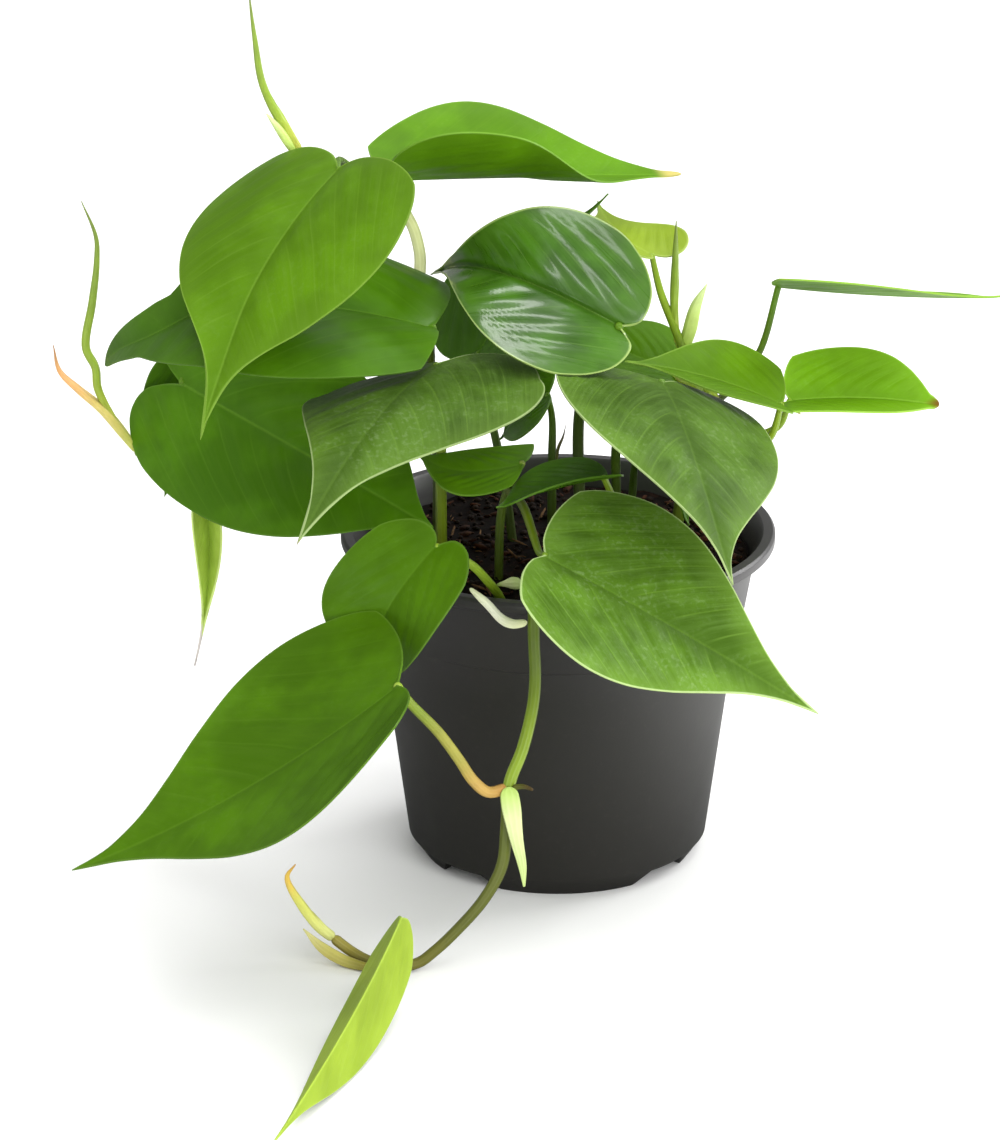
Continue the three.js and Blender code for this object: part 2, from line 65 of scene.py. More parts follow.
# ---- Settings ----
class PotSettings(bpy.types.PropertyGroup):
    """Sizes and colours of the pot and of the soil in it."""

    plastic: FloatVectorProperty(
        name="Plastic", description="Colour of the pot", subtype="COLOR", size=3, min=0, max=1,
        default=linear("22211d")[:3],
    )
    edge: FloatProperty(
        name="Edge", description="Width of the pot's softened edges", default=0.00035, unit="LENGTH"
    )
    soil_top: FloatProperty(
        name="Soil level", description="Height of the soil's surface", default=0.088, unit="LENGTH"
    )
    crumbs: IntProperty(
        name="Crumbs", description="Bits of peat and bark that lie on the soil", default=1300, min=0
    )


class FoliageSettings(bpy.types.PropertyGroup):
    """Sizes that all the blades and stems share."""

    thickness: FloatProperty(
        name="Blade thickness", description="Thickness of a leaf blade", default=0.0005, unit="LENGTH"
    )
    margin: FloatProperty(
        name="Pale margin", description="Width of the pale line round a blade", default=0.0003,
        unit="LENGTH",
    )
    veins: IntProperty(
        name="Side veins", description="Pairs of side veins in a blade", default=7, min=1
    )
    leaf_rows: IntProperty(
        name="Rows", description="Faces along a blade", default=96, min=8
    )
    leaf_columns: IntProperty(
        name="Columns", description="Faces across a blade", default=56, min=4
    )
    stem_sides: IntProperty(
        name="Stem sides", description="Faces round a stem", default=18, min=6
    )


class StudioSettings(bpy.types.PropertyGroup):
    """The floor, the light and the camera."""

    floor: FloatVectorProperty(
        name="Floor", description="Colour of the floor", subtype="COLOR", size=3, min=0, max=1,
        default=linear("f4f4f3")[:3],
    )
    floor_width: FloatProperty(
        name="Floor width", description="Width of the floor", default=6.0, unit="LENGTH"
    )
    key_power: FloatProperty(
        name="Top light", description="Power of the soft light over the plant", default=16.0, unit="POWER"
    )
    front_power: FloatProperty(
        name="Front light", description="Power of the soft light in front", default=39.0, unit="POWER"
    )
    right_power: FloatProperty(
        name="Right light", description="Power of the light on the right", default=12.0, unit="POWER"
    )
    back_power: FloatProperty(
        name="Back light", description="Power of the soft light behind", default=3.5, unit="POWER"
    )
    upper_streak_power: FloatProperty(
        name="Upper streak", description="Power of the narrow light above, which waxy leaves mirror",
        default=4.2, unit="POWER",
    )
    low_streak_power: FloatProperty(
        name="Low streak", description="Power of the narrow light near the floor, which waxy leaves mirror",
        default=2.7, unit="POWER",
    )
    surround: FloatProperty(
        name="Surround", description="Light that comes from the white studio all round", default=0.7,
        min=0,
    )
    reflected: FloatProperty(
        name="Reflected", description="Brightness of the studio and its floor as shiny surfaces show them",
        default=0.3, min=0,
    )


class PlantSettings(bpy.types.PropertyGroup):
    """All the settings of the plant."""

    pot: PointerProperty(type=PotSettings)
    foliage: PointerProperty(type=FoliageSettings)
    studio: PointerProperty(type=StudioSettings)


# ---- Modelling ----
def only(*pieces):
    """Leaves just these pieces selected, the first of them active."""
    bpy.ops.object.select_all(action="DESELECT")
    for piece in pieces:
        piece.select_set(True)
    bpy.context.view_layer.objects.active = pieces[0]


def name_it(name):
    """Names the object that an operator has just added or joined, and its mesh."""
    made = bpy.context.object
    made.name = made.data.name = name
    return made


def primitive(kind, name, **settings):
    """Adds one of the primitives, with nothing else selected."""
    bpy.ops.object.select_all(action="DESELECT")
    getattr(bpy.ops.mesh, f"primitive_{kind}_add")(**settings)
    return name_it(name)


def apply_modifier(piece, kind, **settings):
    """Adds one modifier to the piece and applies it."""
    only(piece)
    made = piece.modifiers.new(kind.title(), kind)
    for name, value in settings.items():
        setattr(made, name, value)
    bpy.ops.object.modifier_apply(modifier=made.name)


def weld(piece, distance=0.02, outward=True):
    """Joins points closer than this, in millimetres, and turns a closed shape's faces outwards."""
    only(piece)
    bpy.ops.object.mode_set(mode="EDIT")
    bpy.ops.mesh.select_all(action="SELECT")
    bpy.ops.mesh.remove_doubles(threshold=distance * MM)
    if outward:
        bpy.ops.mesh.normals_make_consistent(inside=False)
    bpy.ops.object.mode_set(mode="OBJECT")


def shade(piece, degrees=None):
    """Smooth shading, with sharp edges where faces meet at more than this angle."""
    only(piece)
    if degrees is None:
        bpy.ops.object.shade_smooth()
    else:
        bpy.ops.object.shade_smooth_by_angle(angle=math.radians(degrees))


def note(piece, name, values, kind="FLOAT"):
    """Writes a number or a vector for each point, which the piece's material reads."""
    made = piece.data.attributes.new(name, kind, "POINT")
    field = "value" if kind == "FLOAT" else "vector"
    made.data.foreach_set(field, np.asarray(values, np.float32).ravel())


def wrapped_grid(name, across, along):
    """A grid with a UV map, and how far across and along it each point lies, from 0 to 1."""
    made = primitive("grid", name, x_subdivisions=across, y_subdivisions=along, size=1, calc_uvs=True)
    flat = np.empty(len(made.data.vertices) * 3, np.float32)
    made.data.vertices.foreach_get("co", flat)
    flat = flat.reshape(-1, 3).astype(float) + 0.5
    return made, flat[:, 0], flat[:, 1]


def put_points(piece, points):
    """Moves the piece's points to these places, in millimetres."""
    piece.data.vertices.foreach_set("co", (np.asarray(points) * MM).astype(np.float32).ravel())
    piece.data.update()


def unit(vector):
    """The vector, or each row of vectors, brought to length 1."""
    return vector / np.linalg.norm(vector, axis=-1, keepdims=True)


def step_up(low, high, value):
    """Goes smoothly from 0 at low to 1 at high."""
    x = np.clip((value - low) / (high - low), 0, 1)
    return x * x * (3 - 2 * x)


def bell(distance, width):
    """1 at no distance, and near 0 at twice the width or more."""
    return np.exp(-((distance / width) ** 2))


def through(knots, where):
    """The smooth curve that passes the knots evenly as where goes from 0 to 1."""
    knots = np.asarray(knots, float).reshape(len(knots), -1)
    padded = np.vstack([2 * knots[0] - knots[1], knots, 2 * knots[-1] - knots[-2]])
    place = np.clip(where, 0, 1) * (len(knots) - 1)
    k = np.minimum(place.astype(int), len(knots) - 2)
    f = (place - k)[:, None]
    a, b, c, d = (padded[k + i] for i in range(4))
    square = (2 * a - 5 * b + 4 * c - d) * f**2 / 2
    cube = (3 * b - a - 3 * c + d) * f**3 / 2
    return b + (c - a) * f / 2 + square + cube


def finish(piece, node, slot, *materials):
    """Gives the piece its finish, hangs it on the root body and hides the CAD node that it stands for, if
    any.
    """
    piece.data.materials.clear()
    for material in materials:
        piece.data.materials.append(material)
    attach(piece, "root")
    if node:
        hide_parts(node)


# ---- Materials ----
SMOOTH = {"interpolation_type": "SMOOTHSTEP"}  # for a range whose two ends are soft
LEAF_IOR = 1.45  # of plant tissue and its wax
PLASTIC_IOR = 1.49  # of polypropylene
SOIL_IOR = 1.45  # of damp peat and bark
STRIPES = 9  # pale lines round a stem
SCAR = "6a4a25"  # the brown of old joints


def add(tree, kind, inputs, take=0, **settings):
    """Adds one node with its settings and links, and returns its output."""
    made = tree.nodes.new("ShaderNode" + kind)
    for name, value in settings.items():
        setattr(made, name, value)
    for socket, value in inputs.items():
        if isinstance(value, bpy.types.NodeSocket):
            tree.links.new(value, made.inputs[socket])
        else:
            made.inputs[socket].default_value = value
    return made.outputs[take]


def new_material(name):
    """A material, its node tree, and the place on the piece, which every tree starts from."""
    made = bpy.data.materials.new(name)
    made.use_nodes = True
    made.node_tree.nodes.clear()
    spot = add(made.node_tree, "TexCoord", {}, take="Object")
    return made, made.node_tree, spot


def close_material(tree, **sockets):
    """Ends the tree in a Principled shader with these sockets."""
    inputs = {name.replace("_", " "): value for name, value in sockets.items()}
    shader = add(tree, "BsdfPrincipled", inputs)
    output = tree.nodes.new("ShaderNodeOutputMaterial")
    tree.links.new(shader, output.inputs["Surface"])


def mixed(tree, colour, layers):
    """Lays colours over a first one: each layer is (how much, colour)."""
    for factor, over in layers:
        colour = add(tree, "Mix", {0: factor, 6: colour, 7: over}, take=2, data_type="RGBA")
    return colour


def leaf_top(name, look):
    """The upper face of a blade: green tissue under a waxy, slightly uneven cuticle.

    The colour drifts over patches about 20 mm wide and in fine streaks that follow the side veins.
    Beside the midrib it is darkened with painted shade, in the valley that the midrib sinks into, and
    the pale grey flecks in its lighter patches are painted sheen.
    """
    made, tree, spot = new_material(name)
    foliage = bpy.context.scene.plant.foliage
    rib, edge, inner, tone, dry = (
        add(tree, "Attribute", {}, take="Fac", attribute_name=word)
        for word in ("rib_mm", "edge_mm", "inner", "tone", "dry")
    )
    vein_at = add(tree, "Attribute", {}, take="Vector", attribute_name="vein_at")

    patches = {"Vector": spot, "Scale": 1 / (20 * MM), "Detail": 3, "Roughness": 0.55}
    patches = add(tree, "TexNoise", patches)
    patch = add(tree, "MapRange", {0: patches, 1: 0.36, 2: 0.66}, **SMOOTH)
    along = add(tree, "Mapping", {"Vector": vein_at, "Scale": (38, 2.6, 1)})
    streaks = add(tree, "TexNoise", {"Vector": along, "Scale": 1, "Detail": 4, "Roughness": 0.6})
    streak = add(tree, "MapRange", {0: streaks, 1: 0.42, 2: 0.8})
    streak = add(tree, "Math", {0: streak, 1: look["streak"]}, operation="MULTIPLY")
    grain = add(tree, "TexNoise", {"Vector": spot, "Scale": 1 / (1.3 * MM), "Detail": 3})
    # Painted sheen: pale grey flecks in the lighter patches stand for the glints of a finely bumpy cuticle.
    fleck = add(tree, "MapRange", {0: grain, 1: 0.52, 2: 0.7})
    fleck = add(tree, "Math", {0: fleck, 1: patch}, operation="MULTIPLY")
    fleck = add(tree, "Math", {0: fleck, 1: look["fleck"]}, operation="MULTIPLY")

    vein = add(tree, "SeparateXYZ", {0: vein_at}, take=0)
    vein = add(tree, "Math", {0: vein, 1: math.pi * foliage.veins}, operation="MULTIPLY")
    vein = add(tree, "Math", {0: vein}, operation="SINE")
    vein = add(tree, "Math", {0: vein}, operation="ABSOLUTE")
    vein = add(tree, "MapRange", {0: vein, 1: 0.02, 2: 0.16, 3: 1, 4: 0}, **SMOOTH)
    vein = add(tree, "Math", {0: vein, 1: inner}, operation="MULTIPLY")
    vein = add(tree, "Math", {0: vein, 1: look["vein"]}, operation="MULTIPLY")
    # Painted shade: the blade is darkened beside the midrib, in the valley that the midrib sinks into.
    valley_shade = add(tree, "MapRange", {0: rib, 1: 0.8, 2: 7.0, 3: look["painted_valley_shade"], 4: 0}, **SMOOTH)
    midrib = add(tree, "MapRange", {0: rib, 1: 0.15, 2: 0.7, 3: look["midrib"], 4: 0}, **SMOOTH)
    lighter_edge = add(tree, "MapRange", {0: edge, 1: 0, 2: 8.0, 3: look["edge_glow"], 4: 0})
    wide = foliage.margin / MM
    margin = add(tree, "MapRange", {0: edge, 1: 0.5 * wide, 2: 1.5 * wide, 3: look["line"], 4: 0})
    colour = mixed(tree, linear(look["dark"]), [
        (patch, linear(look["light"])),
        (streak, linear(look["bloom"])),
        (lighter_edge, linear(look["rib"])),
        (valley_shade, linear(look["dark"])),
        (fleck, linear(look["dust_and_sheen"])),
        (vein, linear(look["rib"])),
        (midrib, linear(look["rib"])),
        (margin, linear(look["margin"])),
    ])
    colour = add(tree, "HueSaturation", {"Color": colour, "Value": tone})
    colour = mixed(tree, colour, [(dry, linear(look["dry"]))])

    least, most = look["rough"] - 0.06, look["rough"] + 0.1
    rough = add(tree, "MapRange", {0: streaks, 1: 0.3, 2: 0.7, 3: least, 4: most})
    fine = add(tree, "Math", {0: grain, 1: 0.35}, operation="MULTIPLY")
    height = add(tree, "Math", {0: streaks, 1: fine}, operation="ADD")
    bump = {"Strength": look["bump"], "Distance": 0.35 * MM, "Height": height}
    bump = add(tree, "Bump", bump)
    close_material(
        tree, Base_Color=colour, Roughness=rough, Normal=bump, IOR=LEAF_IOR,
        Specular_IOR_Level=look["shine"], Coat_Weight=look["coat"], Coat_Roughness=0.14, Coat_IOR=1.4,
    )
    return made


def leaf_under(name, look):
    """The lower face of a blade: paler and matt, with no wax to shine."""
    made, tree, spot = new_material(name)
    rib, tone, dry = (
        add(tree, "Attribute", {}, take="Fac", attribute_name=word) for word in ("rib_mm", "tone", "dry")
    )
    vein_at = add(tree, "Attribute", {}, take="Vector", attribute_name="vein_at")
    along = add(tree, "Mapping", {"Vector": vein_at, "Scale": (22, 2, 1)})
    streaks = add(tree, "TexNoise", {"Vector": along, "Scale": 1, "Detail": 3})
    patches = add(tree, "TexNoise", {"Vector": spot, "Scale": 1 / (14 * MM), "Detail": 3})
    midrib = add(tree, "MapRange", {0: rib, 1: 0.3, 2: 1.1, 3: 0.6, 4: 0}, **SMOOTH)
    line = add(tree, "MapRange", {0: streaks, 1: 0.5, 2: 0.8, 3: 0, 4: 0.3})
    colour = mixed(tree, linear(look["under"]), [
        (patches, linear(look["under_light"])),
        (line, linear(look["rib"])),
        (midrib, linear(look["rib"])),
    ])
    colour = add(tree, "HueSaturation", {"Color": colour, "Value": tone})
    colour = mixed(tree, colour, [(dry, linear(look["dry"]))])
    grain = add(tree, "TexNoise", {"Vector": spot, "Scale": 1 / (0.8 * MM), "Detail": 2})
    bump = add(tree, "Bump", {"Strength": 0.25, "Distance": 0.2 * MM, "Height": grain})
    close_material(
        tree, Base_Color=colour, Roughness=0.7, Normal=bump, IOR=LEAF_IOR, Specular_IOR_Level=0.0
    )
    return made


def leaf_rim(name, look):
    """The cut edge of a blade: a pale, clear line that catches the light."""
    made, tree, spot = new_material(name)
    drift = add(tree, "TexNoise", {"Vector": spot, "Scale": 1 / (6 * MM), "Detail": 2})
    dry = add(tree, "Attribute", {}, take="Fac", attribute_name="dry")
    colour = mixed(tree, linear(look["margin"]), [
        (drift, linear(look["rim"])),
        (dry, linear(look["dry"])),
    ])
    close_material(tree, Base_Color=colour, Roughness=0.5, IOR=LEAF_IOR, Specular_IOR_Level=0.25)
    return made


def stem_finish(name, stops, rough, stripe):
    """Green stem or stalk: smooth skin with fine lengthwise stripes, and brown at its old joints.

    Each stop is (how far along, colour) from the foot to the end.
    """
    made, tree, spot = new_material(name)
    run, turn, joint = (
        add(tree, "Attribute", {}, take="Fac", attribute_name=word) for word in ("run", "turn", "joint")
    )
    colour = linear(stops[0][1])
    for (start, _), (end, code) in zip(stops, stops[1:]):
        factor = add(tree, "MapRange", {0: run, 1: start, 2: end}, **SMOOTH)
        colour = mixed(tree, colour, [(factor, linear(code))])
    lines = add(tree, "Math", {0: turn, 1: STRIPES * math.tau}, operation="MULTIPLY")
    lines = add(tree, "Math", {0: lines}, operation="SINE")
    cloud = add(tree, "TexNoise", {"Vector": spot, "Scale": 1 / (4 * MM), "Detail": 3})
    lines = add(tree, "Math", {0: lines, 1: cloud}, operation="MULTIPLY")
    pale = add(tree, "MapRange", {0: lines, 1: 0, 2: 0.6, 3: 0, 4: stripe})
    drift = add(tree, "MapRange", {0: cloud, 1: 0.35, 2: 0.75, 3: 0, 4: 0.5})
    warm = add(tree, "HueSaturation", {"Color": colour, "Value": 0.72})
    light = add(tree, "HueSaturation", {"Color": colour, "Saturation": 0.8, "Value": 1.3})
    colour = mixed(tree, colour, [(drift, warm), (pale, light), (joint, linear(SCAR))])
    height = add(tree, "Math", {0: lines, 1: cloud}, operation="ADD")
    bump = add(tree, "Bump", {"Strength": 0.35, "Distance": 0.15 * MM, "Height": height})
    close_material(tree, Base_Color=colour, Roughness=rough, Normal=bump, IOR=LEAF_IOR)
    return made


def moulded_plastic():
    """Black thermoformed polypropylene: charcoal, satin, with a faint grain, a little dust, and painted
    sheen lighter towards the rim.
    """
    made, tree, spot = new_material("satin black polypropylene")
    cloud = add(tree, "TexNoise", {"Vector": spot, "Scale": 1 / (28 * MM), "Detail": 4})
    grain = add(tree, "TexNoise", {"Vector": spot, "Scale": 1 / (0.7 * MM), "Detail": 3})
    dust_and_sheen = {"Vector": spot, "Scale": 1 / (2.2 * MM), "Detail": 6, "Roughness": 0.7}
    dust_and_sheen = add(tree, "TexNoise", dust_and_sheen)
    dust_and_sheen = add(tree, "MapRange", {0: dust_and_sheen, 1: 0.56, 2: 0.8, 3: 0, 4: 0.08})
    # Painted sheen: from 60 mm up to the rim the plastic is lighter grey-purple, where the collar and rolled
    # rim catch the light.
    height = add(tree, "SeparateXYZ", {0: spot}, take=2)
    top = add(tree, "MapRange", {0: height, 1: 60 * MM, 2: RIM_TOP * MM, 3: 0, 4: 0.16})
    pot = bpy.context.scene.plant.pot
    colour = mixed(tree, (*pot.plastic, 1), [
        (top, linear("57535c")),
        (dust_and_sheen, linear("6d675f")),
    ])
    rough = add(tree, "MapRange", {0: cloud, 1: 0.3, 2: 0.7, 3: 0.36, 4: 0.46})
    bump = add(tree, "Bump", {"Strength": 0.12, "Distance": 0.1 * MM, "Height": grain})
    close_material(
        tree, Base_Color=colour, Roughness=rough, Normal=bump, IOR=PLASTIC_IOR, Specular_IOR_Level=0.9
    )
    return made


def damp_soil():
    """Damp peat compost: near black, rough, with browner and paler grains about 1 mm wide."""
    made, tree, spot = new_material("damp peat compost")
    grains = add(tree, "TexVoronoi", {"Vector": spot, "Scale": 1 / (1.6 * MM)}, take="Color")
    pick = add(tree, "SeparateXYZ", {0: grains}, take=0)
    cloud = add(tree, "TexNoise", {"Vector": spot, "Scale": 1 / (9 * MM), "Detail": 5})
    brown = add(tree, "MapRange", {0: pick, 1: 0.7, 2: 1.0, 3: 0, 4: 0.8})
    colour = mixed(tree, linear("140e0a"), [
        (brown, linear("331e12")),
        (cloud, linear("0c0806")),
    ])
    bump = add(tree, "Bump", {"Strength": 1.0, "Distance": 1.2 * MM, "Height": pick})
    close_material(
        tree, Base_Color=colour, Roughness=0.9, Normal=bump, IOR=SOIL_IOR, Specular_IOR_Level=0.1
    )
    return made


def bark(name, dark, light):
    """Broken bark and peat fibre: streaky, dry and matt."""
    made, tree, spot = new_material(name)
    cloud = {"Vector": spot, "Scale": 1 / (2.5 * MM), "Detail": 5, "Roughness": 0.65}
    cloud = add(tree, "TexNoise", cloud)
    part = add(tree, "MapRange", {0: cloud, 1: 0.35, 2: 0.7})
    colour = mixed(tree, linear(dark), [(part, linear(light))])
    bump = add(tree, "Bump", {"Strength": 0.8, "Distance": 0.4 * MM, "Height": cloud})
    close_material(
        tree, Base_Color=colour, Roughness=0.75, Normal=bump, IOR=SOIL_IOR, Specular_IOR_Level=0.15
    )
    return made


# ---- Leaf blades ----
# Half of a heart-shaped outline: how far along the midrib, how far out, and where its vein starts.
HEART = [
    (0, 0, 0), (-0.05, 0.08, 0.01), (-0.1, 0.2, 0.02), (-0.125, 0.38, 0.05), (-0.115, 0.58, 0.08),
    (-0.05, 0.8, 0.12), (0.06, 0.95, 0.2), (0.2, 1, 0.3), (0.34, 0.965, 0.42), (0.48, 0.83, 0.54),
    (0.61, 0.61, 0.65), (0.72, 0.38, 0.74), (0.81, 0.2, 0.83), (0.89, 0.085, 0.9), (0.95, 0.03, 0.955),
    (1, 0, 1),
]
VEIN_BEND = 1.35  # side veins leave the midrib steeply and bend towards the tip
VEIN_SLOPE, VEIN_CURVE = 0.75, 0.9  # how steeply a side vein runs forward, and how much more so further out
VEINLESS = 5  # how near to the midrib or the edge, in millimetres, the side veins fade
CREASE = 0.9  # half width of the narrow crease in the midrib's valley, in millimetres
CROWDING = 1.5  # the columns of faces stand closer together near the midrib
PATCH_WIDTH = 16  # of a blade's unevenness, in millimetres
RIPPLES = 11  # the angle, in radians, that the ripple of the edge runs through along a blade
CURL_FROM, DIP_FROM = 0.6, 0.5  # how far along a blade its tip starts to curl under, and to dip
CUP_GROWS = (-0.1, 0.45)  # where along a blade an open cup grows to its whole depth
DRIP_ROWS, SLIM_ROWS = (0.66, 0.86), (0.5, 0.8)  # where along the outline it narrows, as a share

# The looks of the blades: colours, then how strongly each mark shows, from 0 to 1. Colours are sRGB hex.
# groove, valley, quilt, wave and drift are in millimetres: the midrib's depth and the half width of its
# valley, the swelling between side veins, the ripple of the edge and the unevenness of the whole blade.
# Beside the midrib a blade is darkened with painted shade, and its pale grey flecks are painted sheen.
USUAL = dict(
    rough=0.42, shine=0.12, coat=0.03, bump=0.2, fleck=0.06, streak=0.2, painted_valley_shade=0.25, midrib=0.3,
    vein=0.14, line=0.4, edge_glow=0.1, groove=0.5, valley=3.2, quilt=0.3, wave=0.5, drift=0.8,
    dry="6a4a1e", slot="leaf_green",
)
YOUNG = dict(
    USUAL, painted_valley_shade=0.2, vein=0.2, groove=0.35, quilt=0.2, wave=0.3, drift=0.6, slot="leaf_young",
)
LOOKS = {
    "bright": dict(
        USUAL, dark="466a07", light="517a08", bloom="5f7f2c", rib="6d9030", margin="86a548",
        rim="72923a", under="5d8628", under_light="70983a", dust_and_sheen="7f9a5c",
        painted_valley_shade=0.3, midrib=0.35, edge_glow=0.14, dry="6a2c14",
    ),
    "plain": dict(
        USUAL, dark="3c6003", light="477003", bloom="547618", rib="567c1c", margin="6a8a3a",
        rim="5a7a28", under="6a9626", under_light="7aa638", dust_and_sheen="71904e",
        line=0.3, edge_glow=0.12, dry="b3a85e",
    ),
    "mottled": dict(
        USUAL, dark="344e10", light="48681a", bloom="5e7c3a", rib="6a8c34", margin="a9bc82",
        rim="94ae62", under="567c30", under_light="688e42", dust_and_sheen="8b9f74",
        rough=0.45, shine=0.1, coat=0.0, bump=0.6, fleck=0.2, streak=0.4, painted_valley_shade=0.5, midrib=0.12,
        vein=0.22, line=0.6, edge_glow=0.3, groove=0.6, quilt=0.5, wave=0.6, drift=0.9,
    ),
    "glossy": dict(
        USUAL, dark="254605", light="38620a", bloom="4a6e26", rib="5f8030", margin="9db266",
        rim="8ca552", under="4a7026", under_light="5a8034", dust_and_sheen="71904e",
        rough=0.3, shine=0.5, coat=1.0, bump=0.05, fleck=0.05, streak=0.3, painted_valley_shade=0.2, vein=0.2,
        line=0.6, groove=3.2, valley=6.0, quilt=0.45, wave=0.6, drift=0.9, slot="leaf_dark",
    ),
    "deep": dict(
        USUAL, dark="345a02", light="3f6903", bloom="4e7018", rib="5a8024", margin="5c7c32",
        rim="4c6a22", under="4a6e22", under_light="5c8232", dust_and_sheen="5c7a40",
        rough=0.4, shine=0.18, coat=0.06, bump=0.25, midrib=0.35, line=0.3, groove=0.6, quilt=0.4,
        drift=0.9, slot="leaf_dark",
    ),
    "olive": dict(
        YOUNG, dark="6d8426", light="829a38", bloom="93a850", rib="a3b565", margin="b5c284",
        rim="9aae5c", under="6f8628", under_light="849a3c", dust_and_sheen="a3b96a",
        rough=0.5, shine=0.2, coat=0.0, bump=0.3, streak=0.4, dry="c4bdb8",
    ),
    "lime": dict(
        YOUNG, dark="88a222", light="97b22a", bloom="a9bf4c", rib="a9c450", margin="c0d67c",
        rim="a6c244", under="a4c23a", under_light="b6d24a", dust_and_sheen="a3b96a",
        rough=0.45, shine=0.25, coat=0.04, streak=0.3, midrib=0.35, dry="8a7a3a",
    ),
}

# What a blade is where its entry in LEAVES doesn't say. Lengths are in millimetres, angles in degrees.
# base is the notch where the stalk joins, tip the point, and width the width across both halves.
# roll turns the blade about the line from base to tip, and twist turns its tip further than its base.
# arch and sway bow the midrib upwards and sideways. lift is how far each half rises from the midrib.
# cup raises the edges, and open takes that share of it away near the base.
# curl bends the tip under, dip lowers what is just before it, and hook bends that part sideways.
# lobes is how far the lobes reach back past the base, and left_lobes the same for the left half.
# belly moves the widest place towards the tip, and drip narrows the point, each as a share.
# slim narrows each half near the tip, and blunt is the least half width there, as a share of the widest.
# dry is how far along the blade its dry point starts, and tone how bright the blade is.
USUAL_BLADE = dict(
    sway=0, cup=0, open=0, twist=0, curl=0, dip=0, hook=0, lobes=1, belly=0, drip=0, slim=(0, 0),
    blunt=0, dry=1.01, tone=1,
)
